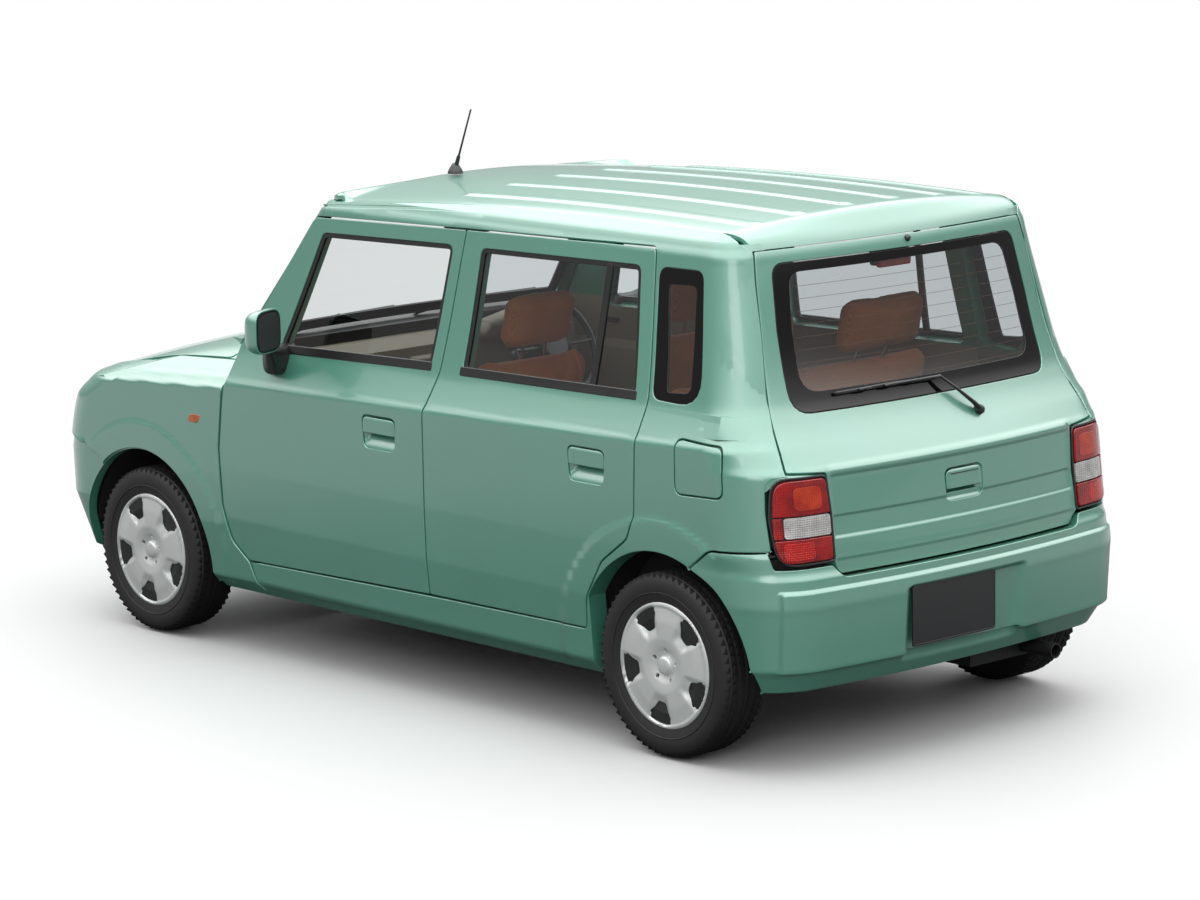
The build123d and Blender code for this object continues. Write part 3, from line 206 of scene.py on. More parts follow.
def side_width(x, z):
    """Half width of the cabin's side."""
    crease_x, crease_z, fall = SIDE_CREASE
    crease = crease_z - fall * (x - crease_x)
    low, high = SIDE_BAND
    level = np.where(
        z < crease,
        low + (z - low) * (crease_z - low) / (crease - low),
        high - (high - z) * (high - crease_z) / (high - crease),
    )
    level = np.where((z < low) | (z > high), z, level)
    return HALF_WIDTH - side_inset(level) + flare(x, z) * ramp((x - FLARE_END) / 90)


def nose_width(x, z):
    """Half width of the front fenders."""
    crease_x, crease_z, fall = NOSE_CREASE
    crease = crease_z - fall * (x - crease_x)
    low = NOSE_FOOT
    level = np.where(z < crease, low + (z - low) * (crease_z - low) / (crease - low), z - crease + crease_z)
    return HALF_WIDTH - nose_inset(np.where(z < low, z, level)) + flare(x, z)


class Hull:
    """A side surface with a bowed end and a round corner, unrolled as (u, z) from the end's middle."""

    def __init__(self, inset, radius, bow, width, direction, reach=26):
        self.inset, self.radius, self.bow = eased(inset, reach), Curve(radius), Curve(bow)
        self.width, self.direction = width, direction

    def corner(self, z):
        """Half width, radius, bow's half width, the corner's first u and angle, its depth and last u."""
        middle = -self.direction * (HALF_LENGTH - 260 - self.inset(z))
        half = self.width(middle, z)
        radius = self.radius(z) - 7
        flat = half - self.radius(z)
        depth = self.bow(z)
        start = flat
        for _ in range(4):
            angle = np.arctan(2 * depth * start / flat**2)
            start = half - radius + radius * np.sin(angle)
        back = self.inset(z) + depth * (start / flat) ** 2
        middle = back + radius * np.cos(angle)
        return half, radius, flat, start, angle, middle, start + radius * (math.pi / 2 - angle)

    def __call__(self, u, z):
        side = np.sign(u) + (u == 0)
        run = np.abs(u)
        half, radius, flat, start, angle, middle, end = self.corner(z)
        turn = angle + (run - start) / radius
        depth = np.where(
            run < start,
            self.inset(z) + self.bow(z) * (run / flat) ** 2,
            np.where(run < end, middle - radius * np.cos(turn), middle + run - end),
        )
        x = -self.direction * (HALF_LENGTH - depth)
        out = np.where(run < start, run, np.where(run < end, half - radius + radius * np.sin(turn), 0))
        y = np.where(run < end, out, self.width(x, z))
        return np.stack([x, side * y, z], -1)

    def from_side(self, points):
        """Unrolls (x, z) points of the left side."""
        x, z = np.array(points, float).T
        depth = HALF_LENGTH + self.direction * x
        _, radius, _, start, angle, middle, end = self.corner(z)
        turn = np.arccos(np.clip((middle - depth) / radius, -1, 1))
        run = np.where(depth < middle, start + radius * (turn - angle), end + depth - middle)
        return np.stack([run, z], -1)

    def from_end(self, points):
        """Unrolls (y, z) points of the end."""
        y, z = np.array(points, float).T
        half, radius, _, start, angle, _, _ = self.corner(z)
        turn = np.arcsin(np.clip((np.abs(y) - half + radius) / radius, -1, 1))
        run = np.where(np.abs(y) < start, np.abs(y), start + radius * (turn - angle))
        return np.stack([np.sign(y) * run, z], -1)


REAR = Hull(REAR_INSET, REAR_RADIUS, REAR_BOW, side_width, 1)
SCREEN = Hull(SCREEN_INSET, SCREEN_RADIUS, SCREEN_BOW, side_width, -1)
tail_inset = eased(TAIL_SIDE, 30)
TAIL = Hull(TAIL_INSET, TAIL_RADIUS, TAIL_BOW, lambda x, z: HALF_WIDTH - tail_inset(z) + flare(x, z), 1)
NOSE = Hull(NOSE_FRONT, NOSE_RADIUS, NOSE_BOW, nose_width, -1)


def side_surface(x, z):
    """The cabin's left side over its (x, z) outline."""
    return np.stack([x, side_width(x, z), z], -1)


# ---- outlines and panels ------------------------------------------------------------------------
def with_corners(points, radius, steps=5):
    """A closed outline with its corners rounded. A point may carry its own radius third."""
    flat = [np.array(p[:2], float) for p in points]
    made = []
    for i, here in enumerate(flat):
        before, after = flat[i - 1] - here, flat[(i + 1) % len(flat)] - here
        long_before, long_after = np.linalg.norm(before), np.linalg.norm(after)
        before, after = before / long_before, after / long_after
        half = math.acos(max(-1, min(1, float(before @ after)))) / 2
        size = points[i][2] if len(points[i]) > 2 else radius
        back = min(size / math.tan(half), 0.45 * long_before, 0.45 * long_after) if half < 1.56 else 0
        if back < 0.5:
            made.append(here)
            continue
        a, b = here + before * back, here + after * back
        for k in range(steps + 1):
            t = k / steps
            made.append((1 - t) ** 2 * a + 2 * t * (1 - t) * here + t**2 * b)
    return np.array(made)


def dense(loop, step):
    """A closed outline with points no further apart than step."""
    made = []
    for here, after in zip(loop, np.roll(loop, -1, 0)):
        parts = max(1, math.ceil(np.linalg.norm(after - here) / step))
        made.extend(here + (after - here) * k / parts for k in range(parts))
    return np.array(made)


def area_of(loop):
    x, y = loop.T
    return 0.5 * float(np.sum(x * np.roll(y, -1) - y * np.roll(x, -1)))


def outward(loop):
    """Unit directions out of an anticlockwise outline at its points."""
    run = np.roll(loop, -1, 0) - loop
    run /= np.linalg.norm(run, axis=1)[:, None] + 1e-9
    both = run + np.roll(run, 1, 0)
    both /= np.linalg.norm(both, axis=1)[:, None] + 1e-9
    return np.stack([both[:, 1], -both[:, 0]], -1)


def moved_out(loop, distance):
    """An outline moved out by a distance, or in where it is negative."""
    turn = 1 if area_of(loop) > 0 else -1
    run = np.roll(loop, -1, 0) - loop
    run /= np.linalg.norm(run, axis=1)[:, None] + 1e-9
    normal = np.stack([run[:, 1], -run[:, 0]], -1) * turn
    before = np.roll(normal, 1, 0)
    both = normal + before
    both /= np.maximum(0.5, np.sum(both * both, 1))[:, None] / 2
    return loop + both * distance


def inside(points, loop):
    """Which points lie inside a closed outline."""
    x, y = points[:, 0][:, None], points[:, 1][:, None]
    a, b = loop, np.roll(loop, -1, 0)
    ay, by = a[:, 1][None], b[:, 1][None]
    ax, bx = a[:, 0][None], b[:, 0][None]
    crossing = (ay > y) != (by > y)
    with np.errstate(divide="ignore", invalid="ignore"):
        where = ax + (y - ay) * (bx - ax) / (by - ay)
    return (crossing & (x < where)).sum(1) % 2 == 1


def near_edge(points, loop):
    """Distance from each point to the nearest edge of a closed outline."""
    a, run = loop[None], (np.roll(loop, -1, 0) - loop)[None]
    away = points[:, None] - a
    t = np.clip((away * run).sum(-1) / ((run * run).sum(-1) + 1e-9), 0, 1)
    return np.linalg.norm(away - t[..., None] * run, axis=-1).min(1)


ROW_SHARE = 0.42  # grid rows against columns, close enough for smooth highlights
CLEAR_SHARE = 0.3  # how near an edge a grid point may stand, as a share of the step


def filled(outer, holes, step):
    """Points and triangles that fill an outline round its holes, boundary points first."""
    low, high = outer.min(0), outer.max(0)
    grid_x = np.arange(low[0] + step / 2, high[0], step)
    grid_y = np.arange(low[1] + step / 4, high[1], ROW_SHARE * step)
    grid = np.stack(np.meshgrid(grid_x, grid_y), -1).reshape(-1, 2)
    keep = inside(grid, outer)
    for hole in holes:
        keep &= ~inside(grid, hole)
    grid = grid[keep]
    for loop in [outer, *holes]:
        if len(grid):
            grid = grid[near_edge(grid, loop) > CLEAR_SHARE * step]
    points, edges = [], []
    for loop in [outer, *holes]:
        first = len(points)
        points.extend(loop.tolist())
        edges.extend((first + k, first + (k + 1) % len(loop)) for k in range(len(loop)))
    points.extend(grid.tolist())
    found, _, faces, origin, _, _ = delaunay_2d_cdt([Vector(p) for p in points], edges, [], 0, 1e-4)
    found = np.array([tuple(p) for p in found])
    faces = np.array([tuple(f) for f in faces])
    middle = found[faces].mean(1)
    keep = inside(middle, outer)
    for hole in holes:
        keep &= ~inside(middle, hole)
    faces = faces[keep]
    place = {}
    for new, olds in enumerate(origin):
        for old in olds:
            place[old] = new
    loops, first = [], 0
    for loop in [outer, *holes]:
        loops.append([place[first + k] for k in range(len(loop))])
        first += len(loop)
    return found, faces, loops


def facing(surface, points, delta=0.5):
    """Unit normals of a surface, and its two steps in millimetres."""
    a, b = points.T
    along = surface(a + delta, b) - surface(a - delta, b)
    up = surface(a, b + delta) - surface(a, b - delta)
    normal = np.cross(along, up)
    normal /= np.linalg.norm(normal, axis=1)[:, None] + 1e-12
    return normal, along / (2 * delta), up / (2 * delta)


class Build:
    """Points, normals and faces of one piece, in millimetres."""

    def __init__(self):
        self.points, self.normals, self.faces, self.slots = [], [], [], []
        self.count = 0

    def extend(self, points, normals, faces, slot=0):
        """Adds a patch and returns the number of its first point."""
        first = self.count
        self.points.append(np.asarray(points, float))
        self.normals.append(np.asarray(normals, float))
        self.count += len(points)
        self.faces.extend(tuple(int(k) + first for k in face) for face in faces)
        self.slots.extend([slot] * len(faces))
        return first

    def panel(
        self, surface, outer, holes=(), step=22, proud=None, depth=12, edge=2.5, slot=0,
        inner=0, inner_slot=1, middle=(0, 0, 700), flip=None,
    ):
        """A piece of a surface inside an outline, with its edges rolled over and turned in."""
        proud = mm("skin") if proud is None else proud
        outer = dense(outer if area_of(outer) > 0 else outer[::-1], 0.8 * step)
        holes = [dense(h if area_of(h) < 0 else h[::-1], 0.8 * step) for h in holes]
        outer_in = moved_out(outer, -edge)
        holes_in = [moved_out(h, edge) for h in holes]
        flat, faces, loops = filled(outer_in, holes_in, step)
        normal, along, up = facing(surface, flat)
        place = surface(flat[:, 0], flat[:, 1])
        if flip is None:
            flip = float(np.mean(np.sum(normal * (place - np.array(middle)), 1))) < 0
        a, b, c = (flat[faces[:, k]] for k in range(3))
        turned = np.cross(b - a, c - a) < 0
        faces = np.where((turned ^ flip)[:, None], faces[:, ::-1], faces)
        if flip:
            normal = -normal
        place = place + normal * proud
        self.extend(place, normal, faces, slot)
        if inner:
            self.extend(place - normal * inner, -normal, faces[:, ::-1], inner_slot)
        if not edge:
            return self
        for loop in loops:
            loop = np.array(loop)
            away = outward(flat[loop])
            out = along[loop] * away[:, :1] + up[loop] * away[:, 1:]
            n = normal[loop]
            out -= n * np.sum(out * n, 1)[:, None]
            out /= np.linalg.norm(out, axis=1)[:, None] + 1e-9
            foot = inner or depth
            rings = [
                (place[loop], n),
                (place[loop] + out * edge * 0.383 - n * edge * 0.076, n + 0.41 * out),
                (place[loop] + out * edge * 0.707 - n * edge * 0.293, n + out),
                (place[loop] + out * edge * 0.924 - n * edge * 0.617, 0.41 * n + out),
                (place[loop] + out * edge - n * edge, out),
                (place[loop] + out * edge - n * foot, out),
            ]
            ring_points = np.concatenate([p for p, _ in rings])
            ring_normals = np.concatenate([v / np.linalg.norm(v, axis=1)[:, None] for _, v in rings])
            size = len(loop)
            quads = []
            for r in range(len(rings) - 1):
                for k in range(size):
                    after = (k + 1) % size
                    quad = (r * size + after, r * size + k, (r + 1) * size + k, (r + 1) * size + after)
                    quads.append(quad[::-1] if flip else quad)
            self.extend(ring_points, ring_normals, quads, slot)
            if inner:
                last = len(rings) - 1
                foot_points = ring_points[last * size:]
                pair = np.concatenate([foot_points, (place - normal * inner)[loop]])
                quads = []
                for k in range(size):
                    after = (k + 1) % size
                    quad = (after, k, size + k, size + after)
                    quads.append(quad[::-1] if flip else quad)
                self.extend(pair, np.concatenate([-n, -n]), quads, inner_slot)
        return self

    def grid(self, place, slot=0, closed_a=False, closed_b=False, flip=False):
        """A patch through a grid of points, with normals worked out from it."""
        rows, columns = place.shape[:2]
        def slope(axis, closed):
            if closed:
                return np.roll(place, -1, axis) - np.roll(place, 1, axis)
            return np.gradient(place, axis=axis)
        normal = np.cross(slope(0, closed_a), slope(1, closed_b))
        size = np.linalg.norm(normal, axis=2)[..., None]
        normal = normal / np.maximum(size, 1e-9)
        faces = []
        for i in range(rows if closed_a else rows - 1):
            for j in range(columns if closed_b else columns - 1):
                ia, ja = (i + 1) % rows, (j + 1) % columns
                face = (i * columns + j, ia * columns + j, ia * columns + ja, i * columns + ja)
                faces.append(face[::-1] if flip else face)
        if flip:
            normal = -normal
        self.extend(place.reshape(-1, 3), normal.reshape(-1, 3), faces, slot)
        return self

    def lathe(self, profile, middle, steps=64, slot=0, axis=1, flip=False):
        """A profile of (distance along the axis, radius) turned about an axis through a point."""
        t = np.arange(steps) * 2 * math.pi / steps
        along, radius = np.array(profile, float).T
        shape = np.zeros((steps, len(along), 3))
        first, second = [(1, 2), (2, 0), (0, 1)][axis]
        shape[..., axis] = along[None]
        shape[..., first] = radius[None] * np.cos(t)[:, None]
        shape[..., second] = radius[None] * np.sin(t)[:, None]
        return self.grid(shape + np.array(middle), slot, closed_a=True, flip=flip)

    def tube(self, path, radii, sides=10, slot=0, flat=1):
        """A round rod along a path, with its ends closed. flat squeezes it upright."""
        path = np.array(path, float)
        radii = np.full(len(path), radii) if np.isscalar(radii) else np.array(radii, float)
        run = np.gradient(path, axis=0)
        run /= np.linalg.norm(run, axis=1)[:, None] + 1e-9
        up = np.array([0, 0, 1])
        if abs(float(run[0] @ up)) > 0.95:
            up = np.array([1, 0, 0])
        left = np.cross(up, run)
        left /= np.linalg.norm(left, axis=1)[:, None] + 1e-9
        high = np.cross(run, left)
        t = np.arange(sides) * 2 * math.pi / sides
        ring = (
            left[:, None] * np.cos(t)[None, :, None] + flat * high[:, None] * np.sin(t)[None, :, None]
        )
        place = path[:, None] + radii[:, None, None] * ring
        ends = [path[:1, None] + 0 * place[:1], path[-1:, None] + 0 * place[:1]]
        return self.grid(np.concatenate([ends[0], place, ends[1]]), slot, closed_b=True)

    def mirrored(self):
        """The same piece on the other side of the car."""
        other = Build()
        other.points = [p * (1, -1, 1) for p in self.points]
        other.normals = [n * (1, -1, 1) for n in self.normals]
        other.faces = [face[::-1] for face in self.faces]
        other.slots = list(self.slots)
        other.count = self.count
        return other

    def joined(self, other):
        first = self.count
        self.points += other.points
        self.normals += other.normals
        self.faces += [tuple(k + first for k in face) for face in other.faces]
        self.slots += other.slots
        self.count += other.count
        return self

    def piece_mesh(self, name):
        """The bare mesh, in metres."""
        mesh = bpy.data.meshes.new(name)
        mesh.from_pydata((np.concatenate(self.points) * 0.001).tolist(), [], self.faces)
        return mesh

    def piece(self, name, materials, body, replaces=(), smooth_only=False):
        """Makes the object, and lets it ride on its body."""
        mesh = self.piece_mesh(name)
        normals = np.concatenate(self.normals)
        for material in materials:
            mesh.materials.append(material)
        mesh.polygons.foreach_set("material_index", self.slots)
        mesh.polygons.foreach_set("use_smooth", [True] * len(mesh.polygons))
        mesh.update()
        normals /= np.maximum(np.linalg.norm(normals, axis=1)[:, None], 1e-9)
        if not smooth_only:
            mesh.normals_split_custom_set_from_vertices(normals.tolist())
        made = bpy.data.objects.new(name, mesh)
        bpy.context.scene.collection.objects.link(made)
        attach(made, body)
        if replaces:
            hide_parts(*replaces)
        return made


# ---- finishes -----------------------------------------------------------------------------------
class Term:
    """One socket of a material's nodes, for writing shader maths as expressions."""

    def __init__(self, tree, socket):
        self.tree, self.socket = tree, socket

    def maths(self, operation, *others):
        return self.tree.node("ShaderNodeMath", {"operation": operation}, [self, *others])

    def __add__(self, other):
        return self.maths("ADD", other)

    __radd__ = __add__

    def __mul__(self, other):
        return self.maths("MULTIPLY", other)

    __rmul__ = __mul__

    def __sub__(self, other):
        return self.maths("SUBTRACT", other)

    def __rsub__(self, other):
        return self.tree.node("ShaderNodeMath", {"operation": "SUBTRACT"}, [other, self])

    def __abs__(self):
        return self.maths("ABSOLUTE")


class Finish:
    """Builds the nodes of a new material, or of a world given as its owner."""

    def __init__(self, name, owner=None):
        self.material = owner or bpy.data.materials.new(name)
        self.material.use_nodes = True
        self.material.node_tree.nodes.clear()

    def node(self, kind, settings=None, inputs=(), output=0):
        """Adds a node: its settings first, then the values or links of its sockets."""
        tree = self.material.node_tree
        made = tree.nodes.new(kind)
        for key, value in (settings or {}).items():
            setattr(made, key, value)
        pairs = inputs.items() if isinstance(inputs, dict) else enumerate(inputs)
        for key, value in pairs:
            if isinstance(value, Term):
                tree.links.new(value.socket, made.inputs[key])
            elif value is not None:
                made.inputs[key].default_value = value
        return Term(self, made.outputs[output]) if len(made.outputs) else made

    def place(self):
        """Object coordinates in metres."""
        return self.node("ShaderNodeTexCoord", output="Object")

    def axes(self):
        """Object coordinates as three numbers."""
        split = self.node("ShaderNodeSeparateXYZ", inputs=[self.place()])
        return [Term(self, split.socket.node.outputs[k]) for k in range(3)]

    def noise(self, scale, detail=2):
        sockets = {"Vector": self.place(), "Scale": scale, "Detail": detail, "Roughness": 0.5}
        return self.node("ShaderNodeTexNoise", {}, sockets, "Fac")

    def mix(self, factor, a, b):
        """A colour between two."""
        return self.node("ShaderNodeMix", {"data_type": "RGBA"}, {0: factor, 6: a, 7: b}, 2)

    def bump(self, height, strength, distance):
        return self.node(
            "ShaderNodeBump", {}, {"Height": height, "Strength": strength, "Distance": distance}, "Normal"
        )

    def band(self, term, low, high):
        """Rises from 0 to 1 as the term goes from low to high."""
        return self.node(
            "ShaderNodeMapRange", {"interpolation_type": "SMOOTHSTEP"}, [term, low, high, 0, 1]
        )

    def principled(self, **sockets):
        names = {key.replace("_", " "): value for key, value in sockets.items()}
        return self.node("ShaderNodeBsdfPrincipled", {}, names, "BSDF")

    def done(self, shader):
        self.node("ShaderNodeOutputMaterial", {}, {"Surface": shader})
        return self.material


def rgb(red, green, blue, alpha=1):
    """A linear colour from 0 to 255 display values."""
    def linear(v):
        v /= 255
        return v / 12.92 if v <= 0.04045 else ((v + 0.055) / 1.055) ** 2.4
    return (linear(red), linear(green), linear(blue), alpha)


# ---- settings -----------------------------------------------------------------------------------
def length(name, about, default):
    """A size in metres."""
    return bpy.props.FloatProperty(name=name, description=about, default=default, min=0, unit="LENGTH")


def count(name, about, default):
    return bpy.props.IntProperty(name=name, description=about, default=default, min=3)


def tone(name, about, default):
    return bpy.props.FloatVectorProperty(
        name=name, description=about, default=default, min=0, max=1, size=4, subtype="COLOR"
    )


class KEICAR_Sizes(bpy.types.PropertyGroup):
    """Sizes of the pieces that are laid on the frame."""
    skin: length("Skin", "How far outer skins stand off the frame's panels", 0.0012)
    fender_skin: length("Fender skin", "How far the front fenders' skins stand off the frame's", 0.0044)
    shut_line: length("Shut line", "Half the width of the gap between two panels", 0.0023)
    glass_depth: length("Glass depth", "How far door glass lies behind the outer skin", 0.006)
    cover_windows: count("Cover windows", "Openings in each wheel cover", 5)
    tread_blocks: count("Tread blocks", "Blocks in one row of a tyre's shoulder", 62)
    grille_slats: count("Grille slats", "Slats across the grille", 6)


class KEICAR_Colours(bpy.types.PropertyGroup):
    """Colours of the main finishes."""
    paint: tone("Paint", "Body paint where it is lightest", rgb(86, 160, 138))
    paint_deep: tone("Deep paint", "Body paint where it is deepest", rgb(76, 150, 127))
    cloth: tone("Seat cloth", "Seat cloth on its raised threads", rgb(248, 160, 98))
    cloth_deep: tone("Deep seat cloth", "Seat cloth between its threads", rgb(214, 112, 58))
    cover: tone("Wheel cover", "Silver of the wheel covers", rgb(236, 239, 237))
    cover_deep: tone("Deep wheel cover", "Silver of the covers where it is deepest", rgb(214, 218, 217))


def mm(name):
    """A size from the settings, in millimetres."""
    return round(getattr(bpy.context.scene.kei_car_sizes, name) * 1000, 4)


def colour_of(name):
    return tuple(getattr(bpy.context.scene.kei_car_colours, name))


def paint_shader(make):
    """Body paint under clear lacquer, with fine flakes and faint unevenness."""
    flakes = make.node(
        "ShaderNodeTexVoronoi", {"feature": "F1"}, {"Vector": make.place(), "Scale": 2600}, "Color"
    )
    grain = make.node("ShaderNodeSeparateColor", {}, [flakes])
    drift = make.noise(2.2, 2)
    tone = make.band(drift * 0.5 + grain * 0.5, 0.2, 0.8)
    base = make.mix(tone, colour_of("paint_deep"), colour_of("paint"))
    return make.principled(
        Base_Color=base, Metallic=0, Roughness=0.36 + drift * 0.04, IOR=2,
        Coat_Weight=0.7, Coat_Roughness=0.04, Coat_IOR=1.45, Specular_IOR_Level=0.5,
    )


def paint_finish():
    make = Finish("sage_paint")
    return make.done(paint_shader(make))


def inner_paint_finish():
    """Paint on the outer skin of a frame part and moulded trim on its inner side."""
    make = Finish("paint_and_trim")
    x, y, z = make.axes()
    outer = make.band(abs(y), 0.655, 0.675)
    upper = make.band(z, 0.975, 0.995) * make.band(abs(y), 0.52, 0.54)
    grain = make.noise(900, 3)
    trim = make.principled(
        Base_Color=make.mix(grain, rgb(118, 112, 98), rgb(134, 128, 112)), Roughness=0.62 + grain * 0.1,
        Normal=make.bump(grain, 0.12, 0.0004),
    )
    behind = 1 - make.band(x, -1.43, -1.40)
    roof_edge = make.band(z, 1.385, 1.395)
    mask = outer.maths("MAXIMUM", upper).maths("MAXIMUM", behind).maths("MAXIMUM", roof_edge)
    return make.done(make.node("ShaderNodeMixShader", {}, [mask, trim, paint_shader(make)]))


def door_trim_finish():
    """Moulded lining below a door's window and paint on the frame round it."""
    make = Finish("door_lining")
    _, _, z = make.axes()
    grain = make.noise(900, 3)
    panel = make.band(abs(z - 0.66), 0.150, 0.158)
    tone = make.mix(panel, rgb(150, 142, 122), rgb(176, 168, 148))
    lining = make.principled(
        Base_Color=make.mix(grain * 0.35, tone, rgb(96, 90, 78)), Roughness=0.6 + grain * 0.1,
        Normal=make.bump(grain, 0.12, 0.0004),
    )
    upper = make.band(z, 0.982, 0.992)
    return make.done(make.node("ShaderNodeMixShader", {}, [upper, lining, paint_shader(make)]))


def moulded_finish(name, dark, light, rough=0.5, grain_scale=1100, strength=0.15, metal=0):
    """Moulded plastic or rubber with a fine grain."""
    make = Finish(name)
    grain = make.noise(grain_scale, 3)
    drift = make.noise(6, 2)
    return make.done(make.principled(
        Base_Color=make.mix(grain * 0.6 + drift * 0.4, dark, light), Roughness=rough + drift * 0.12,
        Metallic=metal, Normal=make.bump(grain, strength, 0.0004),
    ))


def glass_finish(name, tint, mirror):
    """Thin tinted glass: what lies behind shows through the tint, under a clear reflection."""
    make = Finish(name)
    smear = make.noise(3, 2)
    gloss = make.node(
        "ShaderNodeBsdfGlossy", {}, {"Color": (1, 1, 1, 1), "Roughness": 0.01 + smear * 0.015}, "BSDF"
    )
    clear = make.node(
        "ShaderNodeBsdfTransparent", {}, {"Color": (tint[0], tint[1], tint[2], 1)}, "BSDF"
    )
    edge_on = make.node("ShaderNodeLayerWeight", {}, {"Blend": 0.5}, "Facing").maths("POWER", 5)
    return make.done(make.node("ShaderNodeMixShader", {}, [edge_on * 0.85 + mirror, clear, gloss]))


def border_finish():
    """The fired black border of bonded glass."""
    make = Finish("black_glass_border")
    drift = make.noise(5, 2)
    return make.done(make.principled(
        Base_Color=make.mix(drift, rgb(14, 13, 15), rgb(22, 19, 22)), Roughness=0.06 + drift * 0.03,
        Specular_IOR_Level=0.28,
    ))


def lens_finish(name, colour, glow, strength=0.35, spread=1):
    """A moulded lamp lens, with its ribs in the surface and a painted glow that stands in for the light of
    the reflector behind.
    """
    make = Finish(name)
    x, y, z = make.axes()
    wave = make.node("ShaderNodeMath", {"operation": "SINE"}, [z * (6.283 / 0.006)])
    swirl = make.node("ShaderNodeMath", {"operation": "SINE"}, [(y + x) * (6.283 / 0.009)])
    pattern = wave * 0.5 + swirl * 0.5
    drift = make.noise(24, 3)
    # Painted glow: where the noise and the ribs are high, the lens colour turns towards its glow colour.
    shade = make.band(drift * spread + pattern * 0.12, 0.1, 0.75)
    return make.done(make.principled(
        Base_Color=make.mix(shade, colour, glow), Roughness=0.12 + drift * 0.06, Coat_Weight=0.3,
        Coat_Roughness=0.02, Specular_IOR_Level=0.25, Normal=make.bump(pattern, strength, 0.0012),
    ))


def metal_finish(name, dark, light, rough=0.3, metal=1, scale=60):
    make = Finish(name)
    grain = make.noise(scale, 4)
    fine = make.noise(900, 2)
    return make.done(make.principled(
        Base_Color=make.mix(grain, dark, light), Metallic=metal, Roughness=rough + grain * 0.12,
        Normal=make.bump(fine, 0.05, 0.0003),
    ))


def fabric_finish(name, dark, light, scale=1):
    """A woven seat cloth."""
    make = Finish(name)
    x, y, z = make.axes()
    warp = make.node("ShaderNodeMath", {"operation": "SINE"}, [(x + z * 0.6) * (6.283 / 0.0032 * scale)])
    weft = make.node("ShaderNodeMath", {"operation": "SINE"}, [(y + z * 0.5) * (6.283 / 0.0032 * scale)])
    weave = warp * weft
    fuzz = make.noise(260, 4)
    drift = make.noise(9, 2)
    shade = make.band(weave * 0.25 + fuzz * 0.5 + drift * 0.5, 0.15, 0.85)
    return make.done(make.principled(
        Base_Color=make.mix(shade, dark, light), Roughness=0.86 + drift * 0.08, Sheen_Weight=0.35,
        Sheen_Roughness=0.4, Normal=make.bump(weave * 0.4 + fuzz * 0.6, 0.5, 0.0008),
    ))


def tyre_finish():
    """Tread rubber with a faintly dusty side wall."""
    make = Finish("tyre_rubber")
    drift = make.noise(18, 4)
    grain = make.noise(700, 2)
    return make.done(make.principled(
        Base_Color=make.mix(drift, rgb(9, 8, 8), rgb(19, 18, 17)), Roughness=0.6 + drift * 0.2,
        Normal=make.bump(grain, 0.15, 0.0004),
    ))


def seat_finish():
    return fabric_finish("terracotta_cloth", colour_of("cloth_deep"), colour_of("cloth"))


def cover_finish():
    return metal_finish("silver_cover", colour_of("cover_deep"), colour_of("cover"), 0.3, 0.2, 5)


# A finish's short name, then the function that makes it and what that function is given.
FINISH_TABLE = {
    "paint": (paint_finish,),
    "paint_trim": (inner_paint_finish,),
    "door_trim": (door_trim_finish,),
    "border": (border_finish,),
    "seat": (seat_finish,),
    "tyre": (tyre_finish,),
    "silver": (cover_finish,),
    "black": (moulded_finish, "black_trim", rgb(20, 20, 21), rgb(32, 32, 33), 0.42),
    "satin_black": (moulded_finish, "satin_black", rgb(13, 13, 14), rgb(22, 22, 23), 0.3),
    "underbody": (moulded_finish, "underbody_coating", rgb(26, 26, 27), rgb(44, 43, 42), 0.75, 240, 0.4),
    "trim": (moulded_finish, "khaki_trim", rgb(112, 106, 92), rgb(132, 126, 110), 0.6),
    "light_trim": (moulded_finish, "light_trim", rgb(176, 174, 164), rgb(192, 190, 180), 0.7),
    "paint_dark": (moulded_finish, "drip_paint", rgb(96, 130, 118), rgb(110, 146, 132), 0.35),
    "defroster": (moulded_finish, "defroster_print", rgb(120, 84, 60), rgb(150, 110, 84), 0.6),
    "plate": (moulded_finish, "blank_plate", rgb(18, 19, 21), rgb(26, 27, 30), 0.35, 500, 0.06),
    "glass": (glass_finish, "clear_glass", (0.87, 0.89, 0.89), 0.05),
    "dark_glass": (glass_finish, "smoked_glass", (0.70, 0.73, 0.74), 0.08),
    # The second colour of each lens is its painted glow, which stands in for the light of the reflector
    # behind.
    "red_lens": (lens_finish, "red_lens", rgb(112, 4, 8), rgb(196, 16, 18)),
    "bright_red": (lens_finish, "reflector_red", rgb(186, 14, 14), rgb(232, 38, 28), 0.5),
    "clear_lens": (lens_finish, "clear_lens", rgb(178, 174, 172), rgb(246, 244, 242), 0.6, 0.8),
    "amber_lens": (lens_finish, "amber_lens", rgb(190, 74, 24), rgb(232, 128, 60)),
    "orange_glow": (lens_finish, "orange_glow_lens", rgb(184, 22, 12), rgb(232, 74, 34)),
    "mirror_back": (metal_finish, "mirror_glass", rgb(88, 94, 96), rgb(98, 104, 106), 0.12, 0.5),
    "steel": (metal_finish, "steel", rgb(120, 121, 123), rgb(160, 161, 163), 0.35),
    "dark_steel": (metal_finish, "dark_steel", rgb(40, 40, 41), rgb(62, 62, 62), 0.5, 0.7),
    "chrome": (metal_finish, "bright_plating", rgb(200, 202, 204), rgb(226, 228, 230), 0.08),
}
FINISHES = {}


def finish(name):
    """One of the named finishes, made when first asked for."""
    if name not in FINISHES:
        maker, *settings = FINISH_TABLE[name]
        FINISHES[name] = maker(*settings)
    return FINISHES[name]


